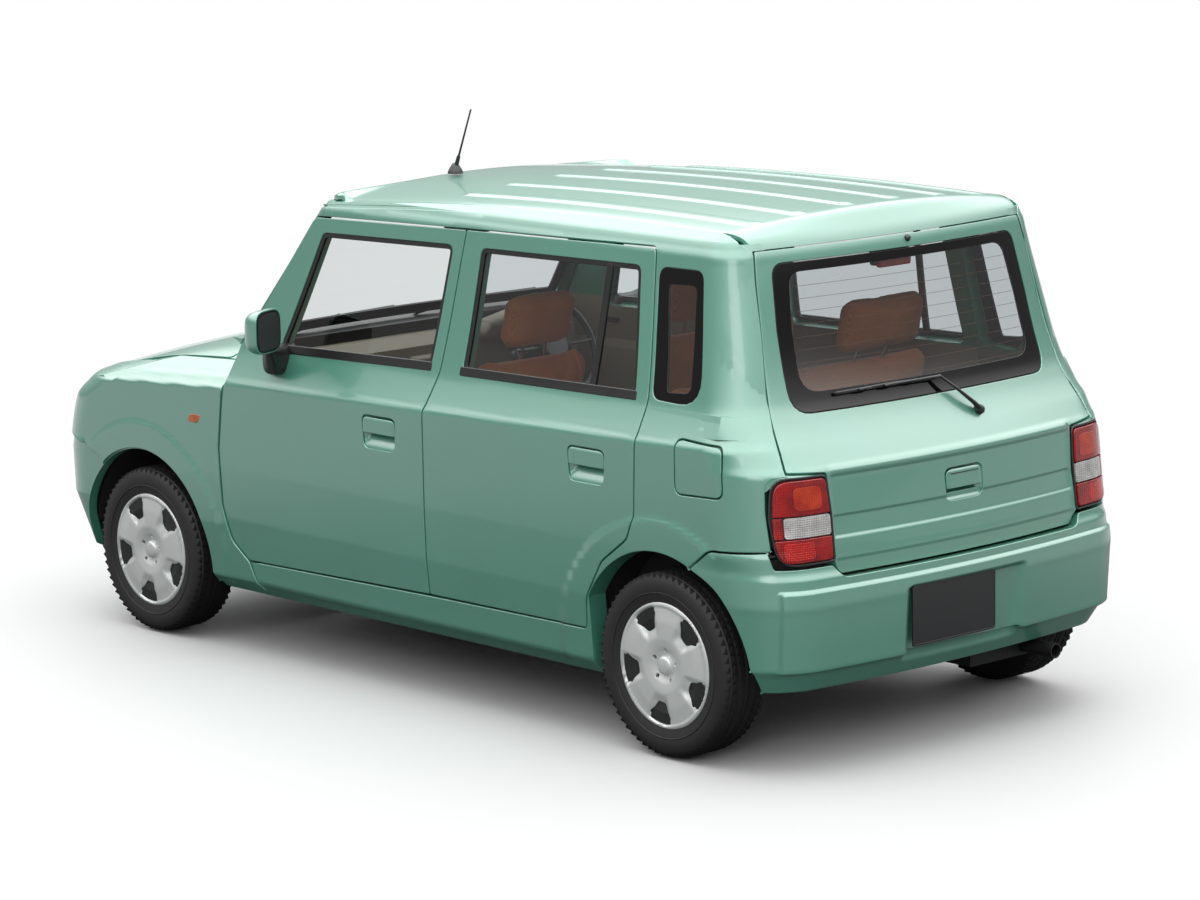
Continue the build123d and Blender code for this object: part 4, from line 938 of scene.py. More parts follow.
# ---- outer panels -------------------------------------------------------------------------------
ROOF_SEAM = 1416  # height of the seam under the roof's rear edge
DRIP_Z = 1461  # greatest height of the line where the roof and the side meet
DRIP_STATIONS = (392, 300, 150, 0, -200, -400, -1230)
BEADS = (95, 285, 450)  # distances of the roof's beads from its middle
BEAD_HEIGHT = 4.5
ROOF_FALL = 1.2  # slope of the roof at its sides, and how softly the crown meets it
ROOF_SOFT = 12
LINING_DROP = 34  # headlining below the roof
BONNET_LIFT = 6  # outer face of the bonnet above its worked out height
ROOF_HALF = 612  # half width over which the roof's lines are worked out
# Half of the tailgate, as (y, z, corner radius), from its foot up.
GATE_EDGE = [
    (470, 549, 26), (497, 592, 26), (490, 720, 60), (497, 828, 8),
    (619, 838, 8), (598, 936, 60), (581, 1024, 60), (557, 1195, 60),
    (544, 1332, 60), (531, ROOF_SEAM, 10),
]
GATE_GLASS = [(512, 978, 58), (502, 1199, 60), (482, 1376, 42)]
GATE_CLEAR = [(462, 1030, 60), (452, 1199, 60), (430, 1350, 46)]
LAMP_U = (490, 682)
LAMP_Z = (587, 827)


def gate_relief(z):
    """How far the tailgate's ledge and pressed band stand out of its even surface."""
    ledge = 4 * ramp((846 - z) / 8) * ramp((z - 816) / 12)
    lower = -3 * ramp((832 - z) / 14)
    band = -5 * ramp((716 - z) / 14) * ramp((z - 644) / 12)
    hem = -3 * ramp((600 - z) / 10)
    return ledge + lower + band + hem


def gate_surface(u, z):
    """The cabin's rear surface with the tailgate's pressings."""
    out = gate_relief(z) * ramp((492 - np.abs(u)) / 12)
    return REAR(u, z) - np.stack([out, 0 * z, 0 * z], -1)


def side_middle(z):
    """Where the side's straight run starts and ends at a height, and both corners' arc ends."""
    rear, screen = REAR.corner(z), SCREEN.corner(z)
    return rear[5] - HALF_LENGTH, HALF_LENGTH - screen[5], rear[6], screen[6]


def cabin_surface(v, z):
    """The whole left side of the cabin: v is x on the side, and runs on round both corners."""
    start, stop, rear_end, screen_end = side_middle(z)
    side = np.stack([v, side_width(v, z), z], -1)
    rear = REAR(np.maximum(rear_end - (start - v), 1), z)
    screen = SCREEN(np.maximum(screen_end - (v - stop), 1), z)
    return np.where((v < start)[:, None], rear, np.where((v > stop)[:, None], screen, side))


def on_side(points):
    """(x, z) points of the side view, as (v, z)."""
    x, z = np.array([p[:2] for p in points], float).T
    start, stop, rear_end, screen_end = side_middle(z)
    rear = start - (rear_end - REAR.from_side(np.stack([x, z], -1))[:, 0])
    screen = stop + screen_end - SCREEN.from_side(np.stack([x, z], -1))[:, 0]
    v = np.where(x < start, rear, np.where(x > stop, screen, x))
    return [(a, b) + tuple(p[2:]) for a, b, p in zip(v, z, points)]


def on_rear(points):
    """(y, z) points of the rear view, as (v, z)."""
    u, z = REAR.from_end([p[:2] for p in points]).T
    start, _, rear_end, _ = side_middle(z)
    return [(a, b) + tuple(p[2:]) for a, b, p in zip(start - rear_end + u, z, points)]


def on_screen(points):
    """(y, z) points of the front view at the windscreen, as (v, z)."""
    u, z = SCREEN.from_end([p[:2] for p in points]).T
    _, stop, _, screen_end = side_middle(z)
    return [(a, b) + tuple(p[2:]) for a, b, p in zip(stop + screen_end - u, z, points)]


def unrolled(points):
    """(u, z) points of the rear surface, as (v, z)."""
    u, z = np.array([p[:2] for p in points], float).T
    start, _, rear_end, _ = side_middle(z)
    return [(a, b) + tuple(p[2:]) for a, b, p in zip(start - rear_end + u, z, points)]


def arc(middle_x, radius, first, last, steps=24):
    """Points of a wheel arch between two angles in degrees."""
    angles = np.radians(np.linspace(first, last, steps))
    return [(middle_x + radius * math.cos(a), AXLE_HEIGHT + radius * math.sin(a), 1) for a in angles]


def side_outline():
    """Quarter panel, pillars, roof rail and sill, as one (v, z) outline."""
    doors = [
        (652, 302, 30), (-204, 320, 200), (-890, 328, 20), (-900, 420, 90),
        (-969, 533, 90), (-1075, 609, 60), (-1100, 673, 60), (-1107, 875, 60),
        (-1115, 1001, 60), (-1076, 1410, 22), (-281, 1394, 200),
        (412, 1376, 40), (704, 966, 6),
    ]
    lamp = [
        (LAMP_U[0] + 129, LAMP_Z[1] + 2, 4), (LAMP_U[1], LAMP_Z[1] - 4, 34),
        (LAMP_U[1] + 6, 740, 60), (LAMP_U[1], 631, 3),
    ]
    return with_corners(
        on_side([(612, 204, 10)] + doors)
        + on_screen([(640, 958, 6), (628, 972, 6), (562, 1404, 8)])
        + on_side([(x, float(drip_line(x)[1]) - 8, 60) for x in DRIP_STATIONS])
        + on_rear([(552, 1459, 8), (531, ROOF_SEAM, 8)] + [tuple(p) for p in GATE_EDGE[8:3:-1]])
        + unrolled(lamp)
        + on_side([(-1400, 622, 60), (-1322, 562, 8)])
        + on_side(arc(REAR_AXLE, REAR_ARCH, 113, 29.5))
        + on_side([(-908.5, 204, 14)]),
        10,
    )


def drip_line(x):
    """Half width and height of the line along which the roof and the side meet."""
    y = 0 * np.asarray(x, float) + DRIP_Y
    for _ in range(12):
        z = np.minimum(crown_height(ROOF_CROWN, x, y) - 5, DRIP_Z)
        y = side_width(x, z)
    return y, z


def roof_height(x, y):
    """Height of the roof with its pressed beads."""
    height = crown_height(ROOF_CROWN, x, y)
    edge_y, edge_z = drip_line(np.clip(x, -1230, 390))
    fall = edge_z + ROOF_FALL * (edge_y - np.abs(y))
    height = 0.5 * (height + fall - np.sqrt((height - fall) ** 2 + ROOF_SOFT**2))
    for bead_y in BEADS:
        across = ramp((26 - np.abs(np.abs(y) - bead_y)) / 13)
        along = ramp((x + 1312) / 16) * ramp((-92 - x) / 30)
        height = height + BEAD_HEIGHT * across * along
    return height


def spaced(ends, counts):
    """Numbers spread evenly over each stretch between ends, each shared end once."""
    parts = [np.linspace(a, b, number) for a, b, number in zip(ends, ends[1:], counts)]
    return np.concatenate([parts[0][:-1], parts[1], parts[2][1:]])


def end_points(surface, y, heights):
    """Points of an end's surface at one distance from the middle."""
    made = []
    for z in heights:
        u = surface.from_end([(y, z)])[0, 0]
        made.append(surface(np.array([u]), np.array([z]))[0])
    return made


def roof_profile(y, steps):
    """The roof's line at one distance from the centre, from its rear edge over to the windscreen."""
    sheet = end_points(REAR, y, (ROOF_SEAM, 1428, 1440, 1452))
    front = end_points(SCREEN, y, (1452, 1440, 1430, 1424))
    first, last = sheet[-1][0] + 34, front[0][0] - 34
    xs = np.linspace(first, last, 90)
    middle = [(x, y, crown_height(ROOF_CROWN, x, y)) for x in xs]
    line = np.array([*sheet, *middle, *front])
    run = np.concatenate([[0], np.cumsum(np.linalg.norm(np.diff(line, axis=0), axis=1))])
    fine = np.linspace(0, run[-1], 800)
    dense_line = np.stack([np.interp(fine, run, line[:, k]) for k in range(3)], -1)
    width = int(15 / (fine[1] - fine[0]))
    kernel = np.exp(-0.5 * (np.arange(-2 * width, 2 * width + 1) / width) ** 2)
    kernel /= kernel.sum()
    padded = np.concatenate([
        2 * dense_line[0] - dense_line[1:2 * width + 1][::-1], dense_line,
        2 * dense_line[-1] - dense_line[-2 * width - 1:-1][::-1],
    ])
    smooth = np.stack([np.convolve(padded[:, k], kernel, "valid") for k in range(3)], -1)
    share = spaced((0, 0.06, 0.94, 1), (16, steps, 16))
    picked = np.stack([np.interp(share * run[-1], fine, smooth[:, k]) for k in range(3)], -1)
    picked[:, 2] += roof_height(picked[:, 0], y) - crown_height(ROOF_CROWN, picked[:, 0], y)
    return picked


def roof_panel():
    """The roof's outer sheet with its beads, and the headlining under it."""
    ys = spaced((-ROOF_HALF, -530, 530, ROOF_HALF), (14, 200, 14))
    lines = np.stack([roof_profile(y, 150) for y in ys])
    share = np.arange(lines.shape[1])
    last = share[-1]
    wide = drip_line(np.clip(lines[len(ys) // 2, :, 0], -1230, 400))[0] - 3
    limit = np.interp(share, [0, 14, 20, last - 12, last], [531, 552, 620, 620, 556])
    limit = np.minimum(limit, wide)
    place = np.empty_like(lines)
    for k in share:
        for axis in range(3):
            place[:, k, axis] = np.interp(ys / ROOF_HALF * limit[k], ys, lines[:, k, axis])
    build = Build()
    place[..., 2] += mm("skin")
    build.grid(place, flip=True)
    lining = place[20:-20:6, 30:-30:6].copy()
    lining[..., 2] -= LINING_DROP
    build.grid(lining, slot=1)
    for side, line in ((-1, place[0]), (1, place[-1])):
        wall = np.stack([line, line + (0, side * 1.5, -2), line + (0, side * 1.5, -12)])
        build.grid(wall if side < 0 else wall[::-1])
    for end in (0, -1):
        line = place[:, end]
        step = np.array([4 if end == 0 else -4, 0, 0])
        wall = np.stack([line, line + 0.2 * step - (0, 0, 1), line + step * 3])
        build.grid(wall if end else wall[::-1])
    return build


def bonnet_height(x, y):
    """Height of the bonnet: its crown, falling to the fenders and to the nose."""
    crease_x, crease_z, fall = NOSE_CREASE
    crease = crease_z - fall * (x - crease_x)
    inset = HALF_WIDTH - np.abs(y)
    shoulder = crease + Curve([
        (-10, -8), (0, 0), (18, 20), (36, 33), (70, 48), (106, 60),
        (186, 88), (330, 130), (737.5, 243),
    ])(inset)
    crown = crown_height(BONNET_CROWN, x, y)
    back = HALF_LENGTH - x - 62 * (y / 560) ** 2
    front = Curve([
        (4, 690), (10, 716), (15, 750), (24, 785), (48, 824), (90, 856),
        (160, 912), (260, 1000), (600, 1300),
    ])(back)

    def soft(a, b, size):
        """The lower of two heights, with the line where they meet rounded."""
        return 0.5 * (a + b - np.sqrt((a - b) ** 2 + size**2))
    return soft(soft(crown, shoulder, 12), front, 16) + BONNET_LIFT


def bonnet_surface(x, y):
    """The bonnet's outer face over the plan."""
    return np.stack([x, y, bonnet_height(x, y)], -1)


def make_piece(build, name, materials, body, **extra):
    """A piece from finish names."""
    return build.piece(name, [finish(m) for m in materials], body, **extra)


def both_sides(build, name, materials, bodies, replaces=()):
    """The left piece and its mirror image."""
    for side, made in (("left", build), ("right", build.mirrored())):
        stands_for = [node.format(side) for node in replaces]
        make_piece(made, f"{name}_{side}", materials, bodies.format(side), replaces=stands_for)


def make_body_panels():
    """The side skins, the fuel flap and the roof."""
    flap = with_corners(on_side([
        (-1267, 762), (-1267, 915), (-1438, 907), (-1450, 769),
    ]), 26)
    quarter = with_corners(on_side(QUARTER_WINDOW), 34)
    outline = moved_out(side_outline(), -mm("shut_line"))
    flap_hole = moved_out(flap, mm("shut_line"))
    left = Build().panel(cabin_surface, outline, [quarter, flap_hole], step=24, depth=10)
    right = Build().panel(cabin_surface, outline, [quarter], step=24, depth=10).mirrored()
    make_piece(left, "side_skin_left", ["paint"], "car_body")
    make_piece(right, "side_skin_right", ["paint"], "car_body")
    cover = Build().panel(cabin_surface, moved_out(flap, -mm("shut_line") + 0.4), step=18, inner=9)
    make_piece(cover, "fuel_flap_skin", ["paint", "satin_black"], "fuel_flap", replaces=["fuel_flap"])
    make_piece(roof_panel(), "roof_skin", ["paint", "light_trim"], "car_body", replaces=["roof_panel"])


def make_doors():
    """The skins and linings of the four side doors."""
    # Columns: name, outline, window, handle's middle, corner radii of the outline.
    doors = (
        ("front_door", FRONT_DOOR, FRONT_WINDOW, (-5, 780),
         (30, 60, 60, 60, 60, 14, 40, 6, 200, 90, 8)),
        ("rear_door", REAR_DOOR, REAR_WINDOW, (-908, 797),
         (8, 90, 200, 6, 22, 60, 60, 60, 60, 90, 90, 10)),
    )
    for name, outline, window, grip, corners in doors:
        edge = with_corners([p + (c,) for p, c in zip(outline, corners)], 10)
        hole = with_corners(window, 26)
        pull = with_corners(handle_outline(*grip), 24)
        skin = Build().panel(
            side_surface, moved_out(edge, -mm("shut_line")), [hole, pull], step=24, inner=42,
        )
        both_sides(skin, f"{name}_skin", ["paint", "door_trim"], f"{name[:-5]}_{{}}_door", [f"{name}_{{}}"])


def handle_outline(x, z):
    """Outline of a door handle's recess about its middle."""
    return [(x - 78, z + 50), (x + 78, z + 50), (x + 70, z - 50), (x - 70, z - 50)]


def make_gate():
    """The tailgate's skin and lining, with holes for its glass and its handle."""
    edge = half_to_full(GATE_EDGE)
    u_z = [tuple(a) + (p[2],) for a, p in zip(REAR.from_end([p[:2] for p in edge]), edge)]
    glass = with_corners(half_to_full(GATE_GLASS), 50)
    pull = with_corners(gate_pull(), 26)
    skin = Build().panel(
        gate_surface, moved_out(with_corners(u_z, 10), -mm("shut_line")), [moved_out(glass, 2), pull],
        step=20, inner=38,
    )
    make_piece(skin, "tailgate_skin", ["paint", "trim"], "tailgate", replaces=["tailgate"])


def gate_pull():
    """Outline of the recess of the tailgate's handle."""
    return [(-88, 786), (68, 786), (64, 694), (-84, 694)]


def half_to_full(points):
    """A half outline on the left, closed over both sides."""
    return points + [(-p[0],) + tuple(p[1:]) for p in points[::-1]]


def make_nose():
    """The bonnet's skin. Its plan is given as (x, y, corner radius)."""
    plan = with_corners([
        (874, 600, 20), (896, 0, 400), (874, -600, 20), (1552, -600, 60),
        (1622, -470, 200), (1659, -200, 300), (1659, 200, 300), (1622, 470, 200),
        (1552, 600, 60),
    ], 20)
    bonnet = Build().panel(bonnet_surface, moved_out(plan, -mm("shut_line")), step=24, inner=12)
    make_piece(bonnet, "bonnet_skin", ["paint", "underbody"], "bonnet")


# ---- rear bumper, lamps and glass ---------------------------------------------------------------
BUMPER_PANEL = (690, 285, 528)  # half width, foot and top of the bumper's raised panel
PLATE_SPAN = (-222, 256, 492)  # right and left edges and top of the plate's recess


def bumper_surface(u, z):
    """The rear bumper with its raised panel and the plate's recess."""
    half, foot, top = BUMPER_PANEL
    soft = 13
    raised = ramp((half - np.abs(u)) / soft) * ramp((z - foot) / soft) * ramp((top - z) / soft)
    right, left, plate_top = PLATE_SPAN
    recess = ramp((left - u) / 10) * ramp((u - right) / 36) * ramp((plate_top - z) / 14)
    recess = recess * ramp((z - 262) / 26)
    out = -10 * (1 - raised) * ramp((622 - z) / 60) * ramp((1000 - np.abs(u)) / 240)
    out = out * (1 - recess) - 24 * recess
    place = TAIL(u, z)
    normal, _, _ = facing(TAIL, np.stack([u, z], -1))
    # A normal that points towards an upright line through the cabin is turned round.
    away = normal[:, :1] * (place[:, :1] + 900) + normal[:, 1:2] * place[:, 1:2]
    return place + normal * np.where(away < 0, -1, 1) * out[:, None]


def make_rear_bumper():
    """The rear bumper's skin, and the blank plate in its recess."""
    side = [(-1400, 622, 60), (-1318, 561, 6)]
    arch_points = []
    for angle in np.linspace(114, 187, 26):
        radius = REAR_ARCH + 13 * float(ramp((angle - 114) / 24))
        x, z, _ = arc(REAR_AXLE, radius, angle, angle, 1)[0]
        arch_points.append((x, z))
    half = [(469, 549, 26), (502, 586, 20), (686, 586, 6), (688, 631, 3)]
    half += [tuple(p) + (s[2],) for p, s in zip(TAIL.from_side([q[:2] for q in side]), side)]
    half += [tuple(p) + (2,) for p in TAIL.from_side(arch_points)]
    outline = with_corners([(-p[0],) + tuple(p[1:]) for p in half[::-1]] + half, 8)
    outline = moved_out(outline, -mm("shut_line"))
    skin = Build().panel(bumper_surface, outline, step=13, proud=0, depth=36, edge=3)
    skin.panel(TAIL, moved_out(outline, -5), step=40, proud=-36, edge=0, slot=1)
    make_piece(skin, "rear_bumper_skin", ["paint", "underbody"], "car_body", replaces=["rear_bumper"])
    back = upright(-1686.5)
    plate = Build().panel(
        back, rounded_box(-90, 240, 319.5, 484.5, 9, 5), step=30, proud=1.2, depth=3, edge=1.2,
    )
    screw = [(0, 0.1), (0, 7), (3, 6), (3.5, 0.1)]
    for y in (-30, 180):
        plate.lathe(screw, (-1687.5, y, 467), 20, axis=0, slot=1, flip=True)
    frame_ring = Build().panel(
        back, rounded_box(-93, 243, 316.5, 487.5, 11, 5), [rounded_box(-88, 238, 321.5, 482.5, 8, 5)],
        step=30, proud=2, depth=4, edge=1, slot=2,
    )
    make_piece(plate.joined(frame_ring), "plate_blank", ["plate", "steel", "satin_black"], "car_body",
               replaces=["licence_plate"])


def upright(x):
    """An upright plane across the car, as a surface over (y, z)."""
    return lambda y, z: np.stack([0 * y + x, y, z], -1)


def rounded_box(low_u, high_u, low_z, high_z, radius, steps=7):
    """Outline of a rectangle with rounded corners."""
    corners = [(low_u, low_z), (high_u, low_z), (high_u, high_z), (low_u, high_z)]
    return with_corners(corners, radius, steps)


def make_tail_lamps():
    """Both tail lamps: a case with a rim, and the lenses in it."""
    case = with_corners([
        (490, 588, 14), (670, 588, 62), (686, 720, 90), (672, 830, 66),
        (497, 827, 22), (489, 720, 60),
    ], 14)
    lamp = Build()
    lamp.panel(REAR, case, [moved_out(case, -7)], step=14, proud=5, depth=26, edge=2.5, slot=3)
    lamp.panel(REAR, moved_out(case, -6), step=14, proud=-3, edge=0, slot=4)
    brake = [(499, 724, 5), (674, 724, 5), (664, 820, 58), (505, 818, 16)]
    foot = [(500, 597, 12), (660, 597, 54), (675, 661, 5), (499, 661, 5)]
    # Columns: outline, step, proud, depth, edge, slot.
    for outline, step, proud, depth, edge, slot in (
        (with_corners(brake, 5), 12, 9, 10, 3.5, 0),
        (rounded_box(524, 612, 738, 800, 18), 9, 9.4, 1, 0.5, 2),
        (rounded_box(499, 645, 664, 721, 10), 9, 8.5, 10, 3, 1),
        (rounded_box(648, 674, 664, 721, 4, 5), 9, 8.5, 10, 2, 0),
        (with_corners(foot, 5), 12, 9, 10, 3.5, 0),
        (rounded_box(560, 650, 606, 652, 12), 9, 9.4, 1, 0.5, 5),
    ):
        lamp.panel(REAR, outline, step=step, proud=proud, depth=depth, edge=edge, slot=slot)
    names = ["red_lens", "clear_lens", "orange_glow", "satin_black", "satin_black", "bright_red"]
    make_piece(lamp, "tail_lamp_left", names, "car_body", replaces=["tail_lamps"])
    make_piece(lamp.mirrored(), "tail_lamp_right", names, "car_body")


def make_gate_glass():
    """The tailgate's glass inside its fired black border."""
    outer = with_corners(half_to_full(GATE_GLASS), 50)
    clear = with_corners(half_to_full(GATE_CLEAR), 50)
    border = Build().panel(REAR, outer, [clear], step=20, proud=-1, depth=6, edge=1.5)
    border.panel(REAR, clear, step=22, proud=-1.6, edge=0, slot=1)
    make_piece(border, "tailgate_window", ["border", "dark_glass"], "tailgate", replaces=["tailgate_glass"])


def make_side_glass():
    """Frames, sill mouldings and panes of the side windows."""
    for name, window in (("front_door", FRONT_WINDOW), ("rear_door", REAR_WINDOW)):
        outline = with_corners(window, 26)
        outer = moved_out(outline, 1)
        frame_ = Build().panel(
            side_surface, outer, [moved_out(outer, -15)], step=16, proud=-2.5, depth=8, edge=2,
        )
        (front, front_sill), (back, back_sill) = window[0], window[-1]
        front, back = front + (22 if name == "front_door" else 8), back - 6
        belt = with_corners([
            (front, front_sill + 18), (back, back_sill + 18), (back, back_sill - 9), (front, front_sill - 9),
        ], 6)
        frame_.panel(side_surface, belt, step=16, proud=3.5, depth=8, edge=3)
        if name == "rear_door":
            bar = with_corners([(-866, 990), (-882, 1350), (-906, 1352), (-890, 992)], 2)
            frame_.panel(side_surface, bar, step=16, proud=-2, depth=8, edge=2)
        both_sides(frame_, f"{name}_window_frame", ["satin_black"], f"{name[:-5]}_{{}}_door")
        behind = -mm("glass_depth") - 1
        pane = Build().panel(side_surface, moved_out(outline, -8), step=30, proud=behind, edge=0)
        tint = "glass" if name == "front_door" else "dark_glass"
        both_sides(pane, f"{name}_pane", [tint], f"{name[:-5]}_{{}}_door", [f"{name}_glass_{{}}"])
    outline = with_corners(on_side(QUARTER_WINDOW), 34)
    clear = with_corners(on_side([
        (-1183, 1027, 12), (-1140, 1316, 14), (-1250, 1320, 22), (-1276, 1032, 24),
    ]), 14)
    quarter = Build().panel(cabin_surface, outline, [clear], step=16, proud=-0.5, depth=7, edge=1.5)
    quarter.panel(cabin_surface, clear, step=24, proud=-1, edge=0, slot=1)
    names = ["border", "dark_glass"]
    make_piece(quarter, "quarter_window_left", names, "car_body", replaces=["quarter_windows"])
    make_piece(quarter.mirrored(), "quarter_window_right", names, "car_body")


def make_windscreen():
    """The windscreen inside its black border."""
    outline = with_corners(half_to_full([tuple(p) for p in SCREEN.from_end(WINDSCREEN)]), 30)
    clear = moved_out(outline, -34)
    screen = Build().panel(SCREEN, moved_out(outline, -1), [clear], step=24, proud=0, depth=7, edge=1.5)
    screen.panel(SCREEN, clear, step=34, proud=-0.6, edge=0, slot=1)
    make_piece(screen, "windscreen_glass", ["border", "glass"], "car_body", replaces=["windscreen"])


# ---- wheels -------------------------------------------------------------------------------------
COVER_TURN = math.radians(133)
COVER_RADIUS = 178
COVER_FACE = 76  # cover's face beyond the wheel's middle plane
BOLT_RADIUS = 5.5
SHOULDER_ROW = (0.251, 0.016)  # radius of a row of tread blocks and length of a block, in metres
MIDDLE_ROW = (0.256, 0.019)
BLOCK_HEIGHT = 0.0105


def cover_surface(a, b):
    """A wheel cover about its own middle, as (x, y, z) with its face along +Y."""
    radius = np.hypot(a, b)
    angle = np.arctan2(b, a)
    face = Curve([
        (0, -14), (26, -14), (34, -12), (56, -4), (80, -1), (120, -1), (150, -4),
        (163, -5), (170, -3), (180, -7),
    ])(radius)
    windows = bpy.context.scene.kei_car_sizes.cover_windows
    spoke = np.cos(windows * (angle - COVER_TURN))
    sink = -9 * ramp((spoke + 0.1) / 0.9) * ramp((radius - 78) / 34) * ramp((172 - radius) / 8)
    return np.stack([a, COVER_FACE + face + sink, b], -1)


def turned(points, angle):
    """Points of an outline turned about its origin."""
    c, s = math.cos(angle), math.sin(angle)
    return [(p[0] * c - p[1] * s, p[0] * s + p[1] * c) + tuple(p[2:]) for p in points]


def circle_of(radius, steps):
    """Outline of a circle about the origin."""
    t = np.arange(steps) * math.tau / steps
    return np.stack([radius * np.cos(t), radius * np.sin(t)], -1)


def wheel_cover():
    """A wheel cover with its windows and bolt holes, its hub cap and its rim."""
    disc = circle_of(COVER_RADIUS, 96)
    holes = []
    windows = bpy.context.scene.kei_car_sizes.cover_windows
    for k in range(windows):
        angle = COVER_TURN + k * math.tau / windows
        window = [
            (106, -15, 12), (128, -27, 40), (147, -47, 9), (157, 0, 90),
            (147, 47, 9), (128, 27, 40), (106, 15, 12),
        ]
        holes.append(with_corners(turned(window, angle), 8))
        bolt = turned([(44, 0)], angle + math.pi / windows)[0]
        holes.append(circle_of(BOLT_RADIUS, 14) + bolt)
    cover = Build().panel(
        cover_surface, disc, holes, step=8, proud=0, depth=16, edge=1.6, middle=(0, -500, 0),
    )
    cover.lathe([(60, 27), (66, 26.5), (71.5, 24), (73.5, 17), (74.2, 8), (74.4, 0.05)], (0, 0, 0), 48)
    cover.lathe([(50, 178), (66, 178.6), (69.5, 177.6), (69, 174)], (0, 0, 0), 96)
    return cover


def tyre_body():
    """A tyre about its own middle, without its tread blocks."""
    half = [
        (62, 166), (66, 170), (69, 180), (73.5, 196), (76, 212), (76.5, 224), (75, 236),
        (71.5, 246), (66, 254), (58, 259), (54, 259.5), (53, 256), (38, 258.5), (37, 255),
        (31, 255), (30, 259.5), (12, 260.5), (11, 256.5), (4, 256.5), (3, 260.5),
    ]
    profile = half + [(-y, r) for y, r in half[::-1]] + [(-58, 158), (58, 158), half[0]]
    build = Build()
    build.lathe(profile[::-1], (0, 0, 0), 120)
    build.lathe([(74.9, 203), (76.8, 204), (76.8, 206), (75.6, 207)], (0, 0, 0), 96)
    return build


def tread_nodes():
    """Geometry nodes that set one row of tread blocks round a wheel."""
    tree = bpy.data.node_groups.new("tread_row", "GeometryNodeTree")
    for name, kind, value in (
        ("Blocks", "Int", 60), ("Radius", "Float", 0.26), ("Across", "Float", 0),
        ("Block width", "Float", 0.02), ("Block length", "Float", 0.02), ("Block height", "Float", 0.01),
        ("Skew", "Float", 0.2), ("Rubber", "Material", None),
    ):
        socket = tree.interface.new_socket(name, in_out="INPUT", socket_type=f"NodeSocket{kind}")
        if value is not None:
            socket.default_value = value
    tree.interface.new_socket("Geometry", in_out="OUTPUT", socket_type="NodeSocketGeometry")
    given = tree.nodes.new("NodeGroupInput").outputs

    def add(kind, **sockets):
        """Adds a node, with links or values for its sockets, and returns its outputs."""
        made = tree.nodes.new(kind)
        for key, given_value in sockets.items():
            if isinstance(given_value, bpy.types.NodeSocket):
                tree.links.new(given_value, made.inputs[key])
            else:
                made.inputs[key].default_value = given_value
        return made.outputs

    circle = add("GeometryNodeCurvePrimitiveCircle", Resolution=128, Radius=given["Radius"])
    points = add("GeometryNodeCurveToPoints", Curve=circle["Curve"], Count=given["Blocks"])
    size = add(
        "ShaderNodeCombineXYZ", X=given["Block height"], Y=given["Block width"], Z=given["Block length"],
    )
    block = add("GeometryNodeMeshCube", Size=size[0])
    skew = add("ShaderNodeCombineXYZ", X=given["Skew"])
    turn = add("GeometryNodeTransform", Geometry=block["Mesh"], Rotation=skew[0])
    place = add(
        "GeometryNodeInstanceOnPoints", Points=points["Points"], Instance=turn["Geometry"],
        Rotation=points["Rotation"],
    )
    real = add("GeometryNodeRealizeInstances", Geometry=place["Instances"])
    shift = add("ShaderNodeCombineXYZ", Z=given["Across"])
    move = add("GeometryNodeTransform", Geometry=real["Geometry"], Translation=shift[0])
    coat = add("GeometryNodeSetMaterial", Geometry=move["Geometry"], Material=given["Rubber"])
    add("NodeGroupOutput", Geometry=coat["Geometry"])
    return tree


def tread_row(tree, **settings):
    """Points and faces of one tread row, about the wheel's own middle with its axle along +Y."""
    holder = bpy.data.objects.new("tread_row", bpy.data.meshes.new("tread_row"))
    bpy.context.scene.collection.objects.link(holder)
    modifier = holder.modifiers.new("tread", "NODES")
    modifier.node_group = tree
    for item in tree.interface.items_tree:
        if item.item_type == "SOCKET" and item.in_out == "INPUT" and item.name in settings:
            modifier[item.identifier] = settings[item.name]
    bpy.context.view_layer.update()
    evaluated = holder.evaluated_get(bpy.context.evaluated_depsgraph_get())
    mesh = bpy.data.meshes.new_from_object(evaluated)
    points = np.array([tuple(v.co) for v in mesh.vertices]) * 1000
    faces = [tuple(p.vertices) for p in mesh.polygons]
    bpy.data.objects.remove(holder)
    bpy.data.meshes.remove(mesh)
    return np.stack([points[:, 0], points[:, 2], -points[:, 1]], -1), faces


